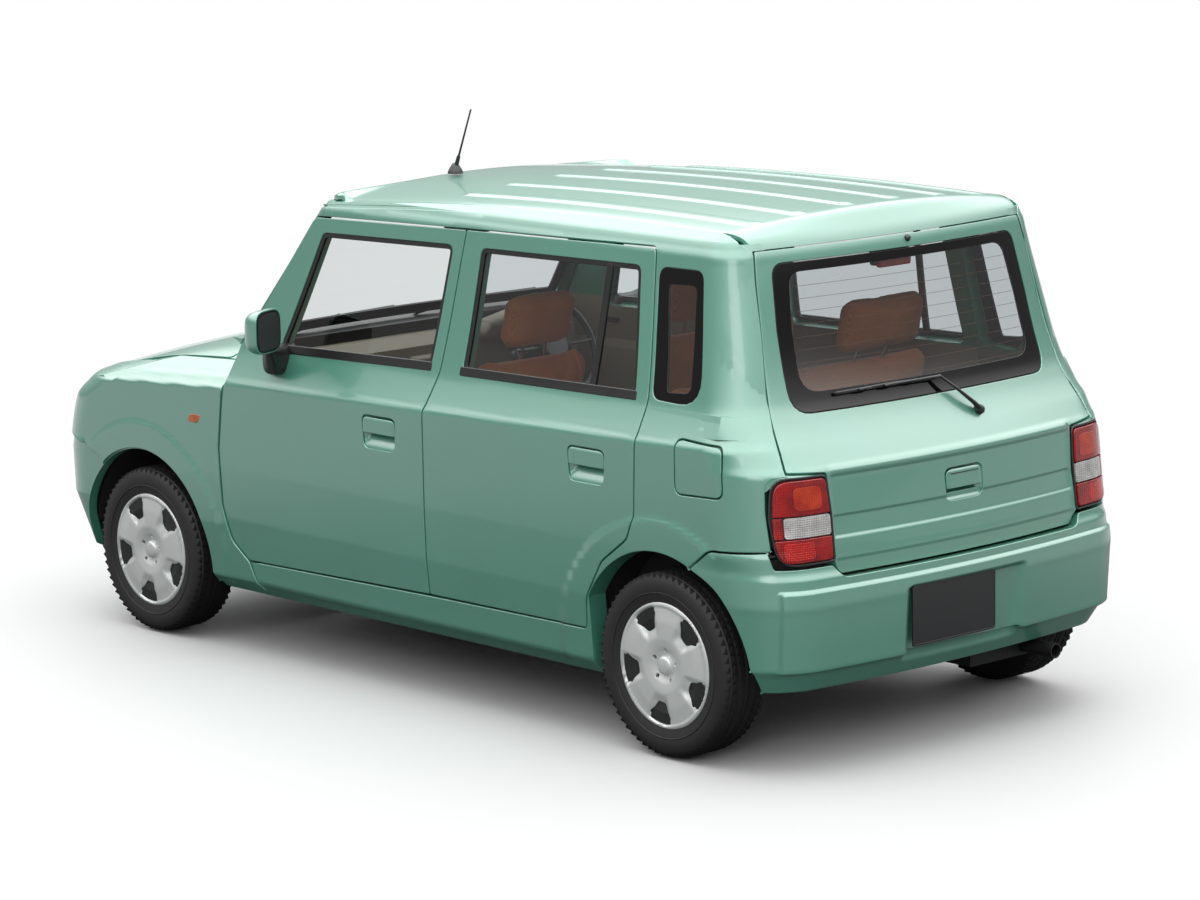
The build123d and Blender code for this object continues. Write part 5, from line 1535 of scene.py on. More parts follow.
def make_wheels():
    """The four tyres with their tread blocks, and the four wheel covers."""
    tree = tread_nodes()
    rows = []
    blocks = bpy.context.scene.kei_car_sizes.tread_blocks
    # Columns: distance from the tyre's middle, blocks, width of a block, skew in radians.
    for across, number, width, skew in (
        (-62, blocks, 15, 0.5), (-45, blocks, 13, 0.35), (-21, blocks + 10, 16, 0.5),
        (21, blocks + 10, 16, -0.5), (45, blocks, 13, -0.35), (62, blocks, 15, -0.5),
        (0, 40, 5, 0),
    ):
        radius, length_ = SHOULDER_ROW if abs(across) > 60 else MIDDLE_ROW
        rows.append(tread_row(tree, **{
            "Blocks": number, "Radius": radius, "Across": across * 0.001, "Block width": width * 0.001,
            "Block length": length_, "Block height": BLOCK_HEIGHT, "Skew": float(skew),
            "Rubber": finish("tyre"),
        }))
    cover, tyre = wheel_cover(), tyre_body()
    for end, axle in (("front", FRONT_AXLE), ("rear", REAR_AXLE)):
        for side, sign in (("left", 1), ("right", -1)):
            middle = np.array([axle, sign * WHEEL_Y, AXLE_HEIGHT])
            for build, name, finishes, stands in (
                (cover, "wheel_cover", ["silver"], []), (tyre, "tyre", ["tyre"], [f"{end}_tyre_{side}"]),
            ):
                copy = Build().joined(build) if sign > 0 else build.mirrored()
                if name == "tyre":
                    copy.points, copy.normals = list(copy.points), list(copy.normals)
                    for points, faces in rows:
                        shape = points * (1, sign, 1)
                        normal = np.stack([shape[:, 0], 0 * shape[:, 0], shape[:, 2]], -1)
                        copy.extend(shape, normal / np.linalg.norm(normal, axis=1)[:, None],
                                    faces if sign > 0 else [f[::-1] for f in faces])
                copy.points = [p + middle for p in copy.points]
                make_piece(copy, f"{name}_{end}_{side}", finishes, f"{end}_{side}_wheel", replaces=stands)


# ---- outside fittings ---------------------------------------------------------------------------
def superellipse(half_a, half_b, power, steps=48):
    """Points of a rounded rectangle about the origin."""
    t = np.arange(steps) * math.tau / steps
    a = np.sign(np.cos(t)) * np.abs(np.cos(t)) ** (2 / power) * half_a
    b = np.sign(np.sin(t)) * np.abs(np.sin(t)) ** (2 / power) * half_b
    return a, b


def capped(rings):
    """Rings of points as a grid, closed at both ends by their middles."""
    return np.array([0 * rings[0] + rings[0].mean(0)] + rings + [0 * rings[-1] + rings[-1].mean(0)])


def loft(stations, axis, power=4, slot=0, build=None, steps=48):
    """A closed body through stations of (place along the axis, middle a, middle b, half a, half b)."""
    build = build or Build()
    first, second = [(1, 2), (2, 0), (0, 1)][axis]
    rings = []
    for along, middle_a, middle_b, half_a, half_b in stations:
        a, b = superellipse(half_a, half_b, power, steps)
        ring_ = np.zeros((steps, 3))
        ring_[:, axis], ring_[:, first], ring_[:, second] = along, middle_a + a, middle_b + b
        rings.append(ring_)
    return build.grid(capped(rings), slot, closed_b=True, flip=stations[0][0] < stations[-1][0])


def bar_across(z, x, ends, power, slot=0):
    """A bar across the car, through stations of (half length, half height, half depth) from its ends in."""
    left = [(half, z, x, half_z, half_x) for half, half_z, half_x in ends]
    return loft([(-s[0],) + s[1:] for s in left] + left[::-1], 1, power=power, slot=slot)


def sunk(surface, depth):
    """A surface moved inward by a depth that varies over it, in place of its own points."""
    def lower(a, b):
        place = surface(a, b)
        normal, _, _ = facing(surface, np.stack([a, b], -1))
        out = np.sum(normal * (place - (-700, 0, 700)), 1) < 0
        normal[out] *= -1
        return place - normal * depth(a, b)[:, None]
    return lower


def handle(surface, a0, half_width, high, low, split):
    """A pull handle: a cup behind the outline, and the flap over its upper part."""
    cup_outline = rounded_box(a0 - half_width, a0 + half_width, low, high, 26, 5)

    def cup_depth(a, b):
        side = (half_width + 2 - np.abs(a - a0)) / 26
        return 1.5 + 25 * np.minimum(ramp(side), ramp((b - low + 2) / (split - low + 6)))

    made = Build().panel(
        sunk(surface, cup_depth), moved_out(cup_outline, 3), step=5, proud=0, depth=2, edge=0.5,
    )
    flap = with_corners([
        (a0 - half_width + 4, split, 3), (a0 + half_width - 4, split, 3),
        (a0 + half_width - 3.5, high - 3.5, 24), (a0 - half_width + 3.5, high - 3.5, 24),
    ], 3)

    def flap_depth(a, b):
        return 1.2 - 4.2 * ramp((high - b) / 12) * ramp((half_width - np.abs(a - a0)) / 16)

    made.panel(sunk(surface, flap_depth), flap, step=6, proud=0, depth=12, edge=2)
    return made


def make_handles():
    """The handles of the four doors and of the tailgate."""
    for name, x, high, low in (("front_door", -5, 828, 732), ("rear_door", -908, 847, 748)):
        made = handle(side_surface, x, 78, high, low, 0.5 * (high + low) - 3)
        both_sides(made, f"{name}_handle", ["paint"], f"{name[:-5]}_{{}}_door")
    made = handle(gate_surface, -10, 76, 785, 694, 728)
    made.panel(
        sunk(gate_surface, lambda a, b: 0 * a - 4.4),
        with_corners([(-66, 767, 6), (46, 767, 6), (46, 770, 1), (-66, 770, 1)], 1),
        step=8, proud=0, depth=4, edge=0.6, slot=1,
    )
    make_piece(made, "tailgate_handle", ["paint", "satin_black"], "tailgate")


def make_rear_wiper():
    """The rear wiper with its arm, clips and blade, and the washer nozzle."""
    def at(y, z, out):
        u = REAR.from_end([(y, z)])[0, 0]
        place = gate_surface(np.array([u]), np.array([z]))[0]
        return place + np.array([-0.94, 0, 0.34]) * out
    pivot, elbow = at(-145, 916, 12), at(-25, 1016, 24)
    build = Build()
    build.tube([at(-145, 916, out) for out in (-14, 2, 16, 21)], [15, 15, 13, 8], 20)
    arm = [pivot, 0.8 * pivot + 0.2 * elbow + (-4, 0, 2), 0.4 * pivot + 0.6 * elbow + (-3, 0, 2), elbow]
    build.tube(arm, [12, 10, 7.5, 5], 12, flat=0.6)
    line = [at(y, 1016 + 3 * (1 - abs(y - 170) / 200), 12 - 3 * abs(y - 170) / 200)
            for y in np.linspace(-20, 358, 15)]
    build.tube(line, 3.2, 10, flat=1.6)
    rubber = [p + np.array([0.94, 0, -0.34]) * 7 for p in line]
    build.tube(rubber, 2.2, 8, flat=2.2)
    for y in (70, 165, 260):
        clip = [at(y - 22, 1016, 17), at(y, 1017, 20), at(y + 22, 1016, 17)]
        build.tube(clip, [4, 5.5, 4], 10)
    build.tube([elbow, at(60, 1017, 22), at(165, 1017, 21)], [5, 4, 3], 10)
    make_piece(build, "rear_wiper", ["satin_black"], "tailgate")
    nozzle = Build()
    nozzle.tube([at(-23, 1401, out) for out in (-6, 4, 10)], [11, 10, 6], 16)
    make_piece(nozzle, "rear_washer_nozzle", ["satin_black"], "tailgate")


def make_high_lamp():
    """The brake lamp inside the tailgate's glass, and its shade."""
    lamp = bar_across(1340, -1389, ((62, 12, 8), (58, 17, 11)), 5)
    shade = bar_across(1350, -1374, ((72, 14, 10), (66, 22, 14)), 5, 1)
    make_piece(lamp.joined(shade), "high_stop_lamp", ["bright_red", "satin_black"], "tailgate")


def make_defroster():
    """The heating lines printed on the tailgate's glass."""
    build = Build()
    for z in np.arange(1040, 1345, 34):
        half = float(np.interp(z, [1030, 1350], [455, 425]))
        y = np.linspace(-half, half, 41)
        u = REAR.from_end(np.stack([y, 0 * y + z], -1))[:, 0]
        place = REAR(u, 0 * u + z) + (2.4, 0, -0.8)
        build.tube(place, 0.55, 4)
    make_piece(build, "defroster_lines", ["defroster"], "tailgate")


def make_mirrors():
    """Mirror heads turned to the driver, each on its foot at the window's front corner."""
    stations = [
        (0, 69, 64), (2, 71, 66), (20, 70.5, 65.5), (38, 64, 60), (52, 51, 51),
        (62, 34, 36), (67, 14, 14),
    ]
    head = loft([(d, 0, 0, a, b) for d, a, b in stations], 0, power=4)
    head = loft([(-0.6, 0, 0, 66, 61), (0.4, 0, 0, 67, 62)], 0, 4, 2, head)
    head = loft([(-2, 0, 0, 60, 55), (0, 0, 0, 61, 56)], 0, 4, 3, head)
    turn = math.radians(20)
    spin = np.array([[math.cos(turn), math.sin(turn), 0], [-math.sin(turn), math.cos(turn), 0], [0, 0, 1]])
    head.points = [p @ spin + (392, 824, 1052) for p in head.points]
    head.normals = [n @ spin for n in head.normals]
    rings = []
    for y, x, z, half_x, half_z in (
        (664, 504, 946, 44, 46), (706, 504, 944, 46, 46), (734, 497, 944, 43, 44),
        (752, 482, 950, 36, 42), (766, 462, 968, 28, 36), (784, 446, 986, 20, 22),
        (800, 436, 992, 12, 12),
    ):
        a, b = superellipse(half_x, half_z, 3.6, 40)
        rings.append(np.stack([x + a, 0 * a + y, z + b], -1))
    head.grid(capped(rings), 1, closed_b=True, flip=True)
    both_sides(head, "door_mirror", ["paint", "black", "satin_black", "mirror_back"], "front_{}_door",
               ["door_mirror_{}"])


def make_small_fittings():
    """The side indicators, the aerial and the mouldings along the roof."""
    u, z = NOSE.from_side([(885, 723)])[0]
    case = rounded_box(u - 36, u + 36, z - 22, z + 22, 20)
    lens = rounded_box(u - 27, u + 27, z - 14, z + 14, 13)
    lamp = Build().panel(NOSE, case, step=8, proud=2.6, depth=6, edge=2.5, slot=1)
    lamp.panel(NOSE, lens, step=6, proud=6.5, depth=5, edge=3.5)
    both_sides(lamp, "side_indicator", ["amber_lens", "paint"], "car_body")
    mast = Build()
    base, tip = np.array([290, 165, 1474]), np.array([211, 165, 1675])
    foot = [(0, 24), (4, 23.5), (12, 20), (22, 14), (30, 9), (33, 0.1)]
    mast.lathe(foot, base, 32, axis=2, flip=True)
    run = tip - base
    spots = [base + run * t + (0, 0, 12 * (1 - t)) for t in (0.06, 0.12, 0.2, 0.24, 0.6, 0.97, 0.99)]
    mast.tube(spots, [7, 6.5, 6, 3.4, 3, 2.6, 3], 12)
    make_piece(mast, "roof_antenna", ["black"], "car_body", replaces=["antenna"])
    strip = Build()
    xs = np.linspace(-1225, 385, 60)
    edge_y, edge_z = drip_line(xs)
    line = np.stack([xs, edge_y - 3, edge_z - 3], -1)
    strip.tube(line, 5, 10, flat=0.5)
    both_sides(strip, "roof_drip_moulding", ["paint_dark"], "car_body")


def make_front_wipers():
    """The two windscreen wipers."""
    build = Build()
    for start, reach in ((-90, 560), (430, 500)):
        def at(y, z, out):
            u = SCREEN.from_end([(y, z)])[0, 0]
            return SCREEN(np.array([u]), np.array([z]))[0] + np.array([0.8, 0, 0.6]) * out
        pivot = at(start, 968, 2)
        end = start - reach * 0.72
        mid = at(0.45 * start + 0.55 * end, 990, 15)
        build.tube([pivot + (0, 0, -16), pivot, mid], [11, 9, 4], 12)
        ys = np.linspace(start - 30, end - 60, 11)
        blade = [at(y, 986 + 8 * k / 10, 9) for k, y in enumerate(ys)]
        build.tube(blade, 3.5, 8, flat=1.7)
    make_piece(build, "front_wipers", ["satin_black"], "car_body")


# ---- seats and cabin ----------------------------------------------------------------------------
SEAT_Y = 330  # the front seats and the rear headrests, from the middle of the car
REST_Y = 267
BLOWN_FRAMES = 20  # steps for which a pad is blown up
# Voxel size of a pad's remesh and greatest move of a point as it is blown up, in metres.
FRONT_PAD, REAR_PAD, REST_PAD = (0.009, 0.016), (0.01, 0.016), (0.006, 0.01)


def slab(low, high, half_y, thick, power=5, crown=14):
    """A padded board between two (x, z) ends, crowned on both faces and rounded at its edges."""
    low, high = np.array(low, float), np.array(high, float)
    run = high - low
    length = np.linalg.norm(run)
    along = run / length
    across = np.array([-along[1], along[0]])
    rings = []
    for t in np.concatenate([[0, 0.012, 0.04], np.linspace(0.1, 0.9, 17), [0.96, 0.988, 1]]):
        edge = min(t, 1 - t) * length
        swell = 1 - max(0, 1 - edge / (0.45 * thick)) ** 2.2
        half_a = half_y - 0.32 * thick * (1 - swell)
        half_b = (0.5 * thick - 4) * (0.25 + 0.75 * swell)
        a, b = superellipse(half_a, half_b, power, 56)
        b = b * (1 + crown / thick * (1 - (a / half_a) ** 2) * 0.5)
        middle = low + run * t
        rings.append(np.stack([middle[0] + across[0] * b, a, middle[1] + across[1] * b], -1))
    return Build().grid(capped(rings), closed_b=True, flip=True)


def inflated(build, voxel, cap, pressure=4):
    """Points and faces of a closed form after it is remeshed and blown up as cloth."""
    shape = build.piece_mesh("stuffing")
    holder = bpy.data.objects.new("stuffing", shape)
    bpy.context.scene.collection.objects.link(holder)

    def taken():
        bpy.context.view_layer.update()
        return bpy.data.meshes.new_from_object(holder.evaluated_get(bpy.context.evaluated_depsgraph_get()))

    remesh = holder.modifiers.new("remesh", "REMESH")
    remesh.mode = "VOXEL"
    remesh.voxel_size = voxel
    holder.data = taken()
    holder.modifiers.clear()
    rest = np.array([tuple(v.co) for v in holder.data.vertices])
    cloth = holder.modifiers.new("cloth", "CLOTH")
    cloth.settings.use_pressure = True
    cloth.settings.uniform_pressure_force = pressure
    cloth.settings.quality = 4
    cloth.settings.mass = 0.3
    cloth.settings.tension_stiffness = cloth.settings.compression_stiffness = 12
    cloth.settings.effector_weights.gravity = 0
    cloth.point_cache.frame_start, cloth.point_cache.frame_end = 1, BLOWN_FRAMES
    for step in range(1, BLOWN_FRAMES + 1):
        bpy.context.scene.frame_set(step)
    blown = taken()
    places = np.array([tuple(v.co) for v in blown.vertices])
    moved = places - rest
    far = np.linalg.norm(moved, axis=1)
    rest = rest + moved * np.minimum(1, cap / np.maximum(far, 1e-9))[:, None]
    holder.modifiers.clear()
    bpy.context.scene.frame_set(1)
    holder.data.vertices.foreach_set("co", rest.astype(np.float32).ravel())
    smooth = holder.modifiers.new("smooth", "SUBSURF")
    smooth.levels = 1
    made = taken()
    points = np.array([tuple(v.co) for v in made.vertices])
    normals = np.array([tuple(v.vector) for v in made.vertex_normals])
    faces = [tuple(p.vertices) for p in made.polygons]
    bpy.data.objects.remove(holder)
    return points * 1000, normals, faces


def channelled(points, normals, lines, width=5, depth=7):
    """Presses sewn channels in where each line's distance function is near 0."""
    for line in lines:
        away = line(points)
        points = points - normals * (depth * np.exp(-((away / width) ** 2)))[:, None]
    return points


def soft_piece(name, build, voxel, cap, channels, shifts, fill=0.7):
    """One simulated pad, set at each of its places."""
    points, normals, faces = inflated(build, voxel, cap)
    points = channelled(points, normals, channels)
    for label, shift in shifts:
        pad = Build()
        pad.extend(points + np.array(shift), normals, faces)
        made = make_piece(pad, f"{name}_{label}" if label else name, ["seat"], "car_body", smooth_only=True)


def make_seats():
    """The pads of both front seats and of the rear bench, and what they stand on."""
    sides = [("left", (0, SEAT_Y, 0)), ("right", (0, -SEAT_Y, 0))]
    whole = [("", (0, 0, 0))]
    bolsters = [lambda p: np.abs(p[:, 1]) - 150]
    cushion = slab((-138, 452), (328, 462), 222, 112, crown=16)
    soft_piece("front_seat_cushion", cushion, *FRONT_PAD,
               bolsters + [lambda p: np.where(np.abs(p[:, 1]) < 150, p[:, 0] - 90, 99)], sides)
    back = slab((-118, 520), (-236, 992), 216, 92, crown=18)
    soft_piece("front_seat_back", back, *FRONT_PAD,
               bolsters + [lambda p: np.where(np.abs(p[:, 1]) < 150, p[:, 2] - 800, 99)], sides)
    rest = slab((-240, 1022), (-280, 1176), 126, 84, power=3.2, crown=10)
    soft_piece("front_headrest", rest, *REST_PAD, [], sides)
    bench = slab((-838, 470), (-545, 472), 512, 112, crown=16)
    soft_piece("rear_seat_cushion", bench, *REAR_PAD,
               [lambda p: p[:, 1], lambda p: np.abs(p[:, 1]) - 440], whole)
    back = slab((-888, 500), (-1026, 1004), 526, 84, crown=14)
    soft_piece("rear_seat_back", back, *REAR_PAD,
               [lambda p: p[:, 1], lambda p: np.where(np.abs(p[:, 1]) < 440, p[:, 2] - 850, 99)], whole)
    rest = slab((-1062, 1024), (-1098, 1182), 162, 88, power=3, crown=10)
    soft_piece("rear_headrest", rest, *REST_PAD, [],
               [("left", (0, REST_Y, 0)), ("right", (0, -REST_Y, 0))])
    for y in (SEAT_Y, -SEAT_Y):
        frame_ = Build()
        for shift in (-45, 45):
            frame_.tube([(-236, y + shift, 985), (-246, y + shift, 1050)], 5, 12, slot=1)
        base = loft([
            (252, 75, y, 215, 175), (262, 75, y, 222, 180), (372, 75, y, 225, 182),
            (398, 75, y, 210, 190),
        ], 2, power=6)
        frame_.joined(base)
        side, stands_for = ("left", ["front_seats"]) if y > 0 else ("right", [])
        make_piece(frame_, f"front_seat_base_{side}", ["black", "chrome"], "car_body", replaces=stands_for)
    rear = Build()
    for y in (REST_Y, -REST_Y):
        for shift in (-60, 60):
            rear.tube([(-1026, y + shift, 980), (-1066, y + shift, 1044)], 5, 12, slot=1)
    rear.joined(loft([
        (254, -642, 0, 118, 505), (270, -642, 0, 120, 512), (398, -690, 0, 166, 512),
        (412, -690, 0, 160, 506),
    ], 2, power=8))
    make_piece(rear, "rear_seat_base", ["black", "chrome"], "car_body", replaces=["rear_seat"])


def make_cabin():
    """Steering wheel, door linings' fittings, instrument hood and centre stack."""
    wheel = Build()
    tilt = math.radians(28)
    middle = np.array([412, -SEAT_Y, 874])
    ahead = np.array([math.cos(tilt), 0, -math.sin(tilt)])
    side, high = np.array([0, 1, 0]), np.array([math.sin(tilt), 0, math.cos(tilt)])
    t = np.linspace(0, math.tau, 61)
    rim = middle[None] + 167 * (np.cos(t)[:, None] * side + np.sin(t)[:, None] * high)
    wheel.tube(rim, 12, 14)
    for angle in (0, 180, 245, 295):
        a = math.radians(angle)
        out = math.cos(a) * side + math.sin(a) * high
        spoke = [middle + out * 30 + ahead * 12, middle + out * 110 + ahead * 8, middle + out * 160]
        wheel.tube(spoke, 11, 10, flat=0.5)
    wheel.tube([middle - ahead * 14, middle - ahead * 12, middle + ahead * 20, middle + ahead * 60],
               [46, 56, 60, 24], 32)
    make_piece(wheel, "steering_wheel_rim", ["black"], "steering_wheel", replaces=["steering_wheel"])
    for name, x, z in (("front", 402, 560), ("rear", -560, 600)):
        fitting = Build()
        y = float(side_width(np.array([x]), np.array([z]))[0]) - 44
        fitting.lathe([(0, 82), (-5, 80), (-7, 74), (-4, 68), (-5, 40), (-7, 0.1)],
                      (x, y, z), 40)
        rest = loft([
            (x - 470, y - 14, 742, 12, 16), (x - 455, y - 24, 744, 26, 24),
            (x - 250, y - 30, 742, 32, 25), (x - 130, y - 16, 730, 20, 18),
            (x - 112, y - 6, 726, 8, 9),
        ], 0, power=3.5, slot=0)
        lever = [(x - 90, y - 8, 800), (x - 60, y - 12, 800), (x - 30, y - 8, 800)]
        pull = Build().tube(lever, [8, 10, 7], 12, slot=1)
        both_sides(fitting.joined(rest).joined(pull), f"{name}_door_fittings", ["trim", "chrome"],
                   f"{name}_{{}}_door")
    hood = loft([
        (-500, 915, 560, 10, 20), (-480, 922, 570, 34, 44), (-330, 934, 580, 46, 56),
        (-180, 922, 570, 34, 44), (-160, 915, 560, 10, 20),
    ], 1, power=3)
    stack = loft([
        (640, 606, 0, 60, 110), (650, 604, 0, 66, 118), (860, 596, 0, 60, 124),
        (872, 598, 0, 50, 116),
    ], 2, power=7, slot=0)
    dash = hood.joined(stack)
    vent = [(0, 40), (-4, 39), (-5, 33), (-1, 30), (-1, 0.1)]
    for y in (-490, -60, 60, 490):
        dash.lathe(vent, (548, y, 812), 28, axis=0, slot=1, flip=True)
    make_piece(dash, "dashboard_fittings", ["trim", "black"], "car_body")
    mirror = bar_across(1290, 430, ((90, 22, 8), (84, 31, 12)), 4)
    mirror.tube([(440, 0, 1300), (470, 0, 1330), (480, 0, 1352)], 7, 10)
    make_piece(mirror, "inside_mirror", ["black"], "car_body")


# ---- nose fittings ------------------------------------------------------------------------------
def nose_side(v, z):
    """The nose's left side: v is x on the side, and runs on round the corner."""
    corner = NOSE.corner(z)
    return NOSE(corner[6] + HALF_LENGTH - corner[5] - v, z)


def make_front():
    """Fender skins, headlamps, grille slats and the bumper's fittings."""
    rear_line = [(612, 204, 6), (652, 302, 30), (725, 358, 60), (760, 465, 60),
                 (768, 643, 60), (748, 790, 60), (740, 850, 6)]
    top = []
    for v in (760, 860, 1000, 1140, 1280, 1400, 1470, 1530, 1570, 1600):
        zs = np.linspace(780, 940, 321)
        width = nose_side(0 * zs + v, zs)[:, 1]
        top.append((v, float(zs[np.argmin(np.abs(width - 603))]), 60))
    front = [(1606, 780, 20), (1594, 700, 60), (1590, 592, 6), (1462, 572, 10),
             (1384, 542, 4)]
    arch_line = arc(FRONT_AXLE, FRONT_ARCH, 52, 190, 36)
    points = rear_line + top + front + arch_line
    outline = moved_out(with_corners(points, 8), -mm("shut_line"))
    skin = Build().panel(nose_side, outline, step=22, proud=mm("fender_skin"), depth=16)
    both_sides(skin, "front_fender_skin", ["paint"], "car_body")
    lens = with_corners([
        (424, 604, 20), (610, 602, 40), (654, 640, 40), (650, 748, 40), (590, 782, 40),
        (470, 768, 30), (420, 720, 20),
    ], 20)
    lamp = Build().panel(NOSE, lens, step=16, proud=5, depth=26, edge=5)
    for y, z, size in ((510, 688, 60), (600, 676, 34)):
        place = NOSE(np.array([y]), np.array([z]))[0]
        lamp.lathe([(-1, 0.1), (0, size * 0.5), (3.5, size * 0.9), (5.5, size), (0, size + 3)],
                   place + (3, 0, 0), 40, axis=0, slot=1)
    both_sides(lamp, "headlamp_lens", ["clear_lens", "chrome"], "car_body")
    slats = Build()
    for z in np.linspace(612, 712, bpy.context.scene.kei_car_sizes.grille_slats):
        us = np.linspace(-385, 385, 41)
        line = NOSE(us, 0 * us + z) - (5, 0, 0)
        slats.tube(line, 5, 8, slot=0, flat=1.4)
    surround = rounded_box(-404, 404, 594, 730, 30, 5)
    opening = moved_out(surround, -13)
    slats.panel(NOSE, surround, [opening], step=16, proud=-0.5, depth=20, edge=4, slot=1)
    make_piece(slats, "grille_slats", ["black", "chrome"], "car_body")
    intake = with_corners([(-300, 300), (300, 300), (320, 410), (-320, 410)], 30)
    lower = Build().panel(NOSE, intake, step=20, proud=0.8, depth=4, edge=1, slot=0)
    for z in (330, 356, 382):
        us = np.linspace(-300, 300, 31)
        lower.tube(NOSE(us, 0 * us + z) - (2, 0, 0), 4.5, 8, slot=1, flat=1.3)
    fog_lamp = [(-3, 0.1), (-2, 30), (2, 40), (4, 44), (1, 47)]
    for y in (-420, 420):
        place = NOSE(np.array([y]), np.array([362]))[0]
        lower.lathe(fog_lamp, place, 36, axis=0, slot=2)
    make_piece(lower, "front_intake", ["satin_black", "black", "clear_lens"], "car_body")
    plate = Build().panel(
        upright(1697), rounded_box(-165, 165, 425, 590, 9, 5), step=30,
        proud=0.1, depth=5, edge=1.2, middle=(0, 0, 500),
    )
    make_piece(plate, "front_plate_blank", ["plate"], "car_body")


# ---- stage --------------------------------------------------------------------------------------
FLOOR_SIZE = 60
FLOOR_FADE = (2.3, 4)  # the floor turns to plain white between these distances, in metres
DOME_HEIGHTS = (0.20, 0.62)  # between these heights of a direction the dome brightens
DOME_STRENGTHS = (0.50, 5.2)
DOME_LIGHT = 0.23  # share of the dome's strength that lights surfaces


def light_rays(make):
    """Whether a ray comes from the camera, a reflection or through glass, as three terms."""
    outputs = make.node("ShaderNodeLightPath").socket.node.outputs
    return [Term(make, outputs[f"Is {kind} Ray"]) for kind in ("Camera", "Glossy", "Transmission")]


def make_stage():
    """The floor, the world, the two lamps and the camera."""
    bpy.ops.mesh.primitive_plane_add(size=FLOOR_SIZE, location=(0, 0, 0))
    floor = bpy.context.object
    floor.name = "stage_floor"
    make = Finish("stage_floor")
    away = make.node("ShaderNodeVectorMath", {"operation": "LENGTH"}, [make.place()], "Value")
    fade = make.band(away, *FLOOR_FADE)
    camera_ray, glossy_ray, passing_ray = light_rays(make)
    seen = camera_ray + glossy_ray + passing_ray
    pale = make.mix(make.noise(0.6), (0.96, 0.96, 0.96, 1), (0.98, 0.98, 0.98, 1))
    tone = make.mix(camera_ray, (0.12, 0.13, 0.13, 1), pale)
    ground = make.principled(Base_Color=tone, Roughness=0.55, Specular_IOR_Level=0.2)
    white = make.node("ShaderNodeEmission", {}, {"Color": (1, 1, 1, 1), "Strength": 1}, "Emission")
    factor = fade * seen.maths("MINIMUM", 1)
    floor.data.materials.append(make.done(make.node("ShaderNodeMixShader", {}, [factor, ground, white])))

    world = bpy.data.worlds.new("studio")
    bpy.context.scene.world = world
    make = Finish("studio", world)
    camera_ray, glossy_ray, passing_ray = light_rays(make)
    around = make.node("ShaderNodeTexCoord", output="Generated")
    height = make.node("ShaderNodeSeparateXYZ", {}, [around], "Z")
    smooth = {"interpolation_type": "SMOOTHSTEP"}
    dome = make.node("ShaderNodeMapRange", smooth, [height, *DOME_HEIGHTS, *DOME_STRENGTHS])
    # Light that reaches a surface straight from the dome is softer than the dome's reflection.
    soften = make.node("ShaderNodeMapRange", {}, [glossy_ray, 0, 1, DOME_LIGHT, 1])
    back = camera_ray + passing_ray
    strength = make.node("ShaderNodeMix", {"data_type": "FLOAT"}, {0: back, 2: dome * soften, 3: 1})
    shade = make.node("ShaderNodeBackground", {}, {"Strength": strength})
    make.node("ShaderNodeOutputWorld", {}, {"Surface": shade})

    # Columns: name, size, place and what it is aimed at in metres, power in watts.
    for name, size, place, aim, power in (
        ("overhead", (6, 4.5), (-0.6, 0.6, 5.2), (-0.2, 0, 0.5), 72),
        ("rear_left", (3.5, 2.5), (-6, 6.5, 3.2), (-0.4, 0, 0.6), 95),
    ):
        light = bpy.data.lights.new(name, "AREA")
        light.shape = "RECTANGLE"
        light.size, light.size_y = size
        light.energy = power
        lamp = bpy.data.objects.new(name, light)
        bpy.context.scene.collection.objects.link(lamp)
        lamp.location = place
        lamp.rotation_euler = (Vector(aim) - Vector(place)).to_track_quat("-Z", "Y").to_euler()

    # Place, turn left from the nose, look down and roll, in metres and radians.
    place = Vector((-9.61589, 8.63706, 2.96186))
    yaw, pitch, roll = 0.741429, 0.189958, -0.0170872
    ahead = Vector((math.cos(pitch) * math.cos(yaw), -math.cos(pitch) * math.sin(yaw), -math.sin(pitch)))
    right = ahead.cross(Vector((0, 0, 1))).normalized()
    up = right.cross(ahead)
    rolled_right = math.cos(roll) * right + math.sin(roll) * up
    rolled_up = math.cos(roll) * up - math.sin(roll) * right
    data = bpy.data.cameras.new("camera")
    camera = bpy.data.objects.new("camera", data)
    bpy.context.scene.collection.objects.link(camera)
    turn = Matrix((rolled_right, rolled_up, -ahead)).transposed().to_4x4()
    camera.matrix_world = Matrix.Translation(place) @ turn
    data.sensor_width = 36
    data.lens = 128.822
    data.shift_x, data.shift_y = -0.005075, 0.04055
    data.clip_end = 200
    bpy.context.scene.camera = camera
    bpy.context.scene.view_settings.view_transform = "Standard"


CORNERS = [(end, side) for end in ("front", "rear") for side in ("left", "right")]


def dress_frame():
    """Gives every frame part its finish."""
    by_node = {
        "underbody": ["front_frame", "floor_pan", "front_struts", "rear_axle", "fuel_tank", "engine_block",
                      "front_wheelhouses", "rear_wheelhouses", "knuckle_left", "knuckle_right"],
        "dark_steel": ["exhaust"] + [f"{end}_wheel_{side}" for end, side in CORNERS],
        "paint": ["front_fenders", "front_bumper", "headlamps", "bonnet"],
        "black": ["cowl", "grille", "antenna", "steering_wheel", "steering_column"],
        "trim": ["dashboard"],
        "seat": ["front_seats", "rear_seat"],
        "plate": ["licence_plate"],
        "glass": ["windscreen"],
        "dark_glass": ["quarter_windows", "tailgate_glass"] + [
            f"{end}_door_glass_{side}" for end, side in CORNERS
        ],
        "tyre": [f"{end}_tyre_{side}" for end, side in CORNERS],
        "red_lens": ["tail_lamps"],
    }
    chosen = {node: name for name, nodes in by_node.items() for node in nodes}
    for node, piece in NODES.items():
        name = chosen.get(node, "paint_trim")
        piece.data.materials.clear()
        piece.data.materials.append(finish(name))


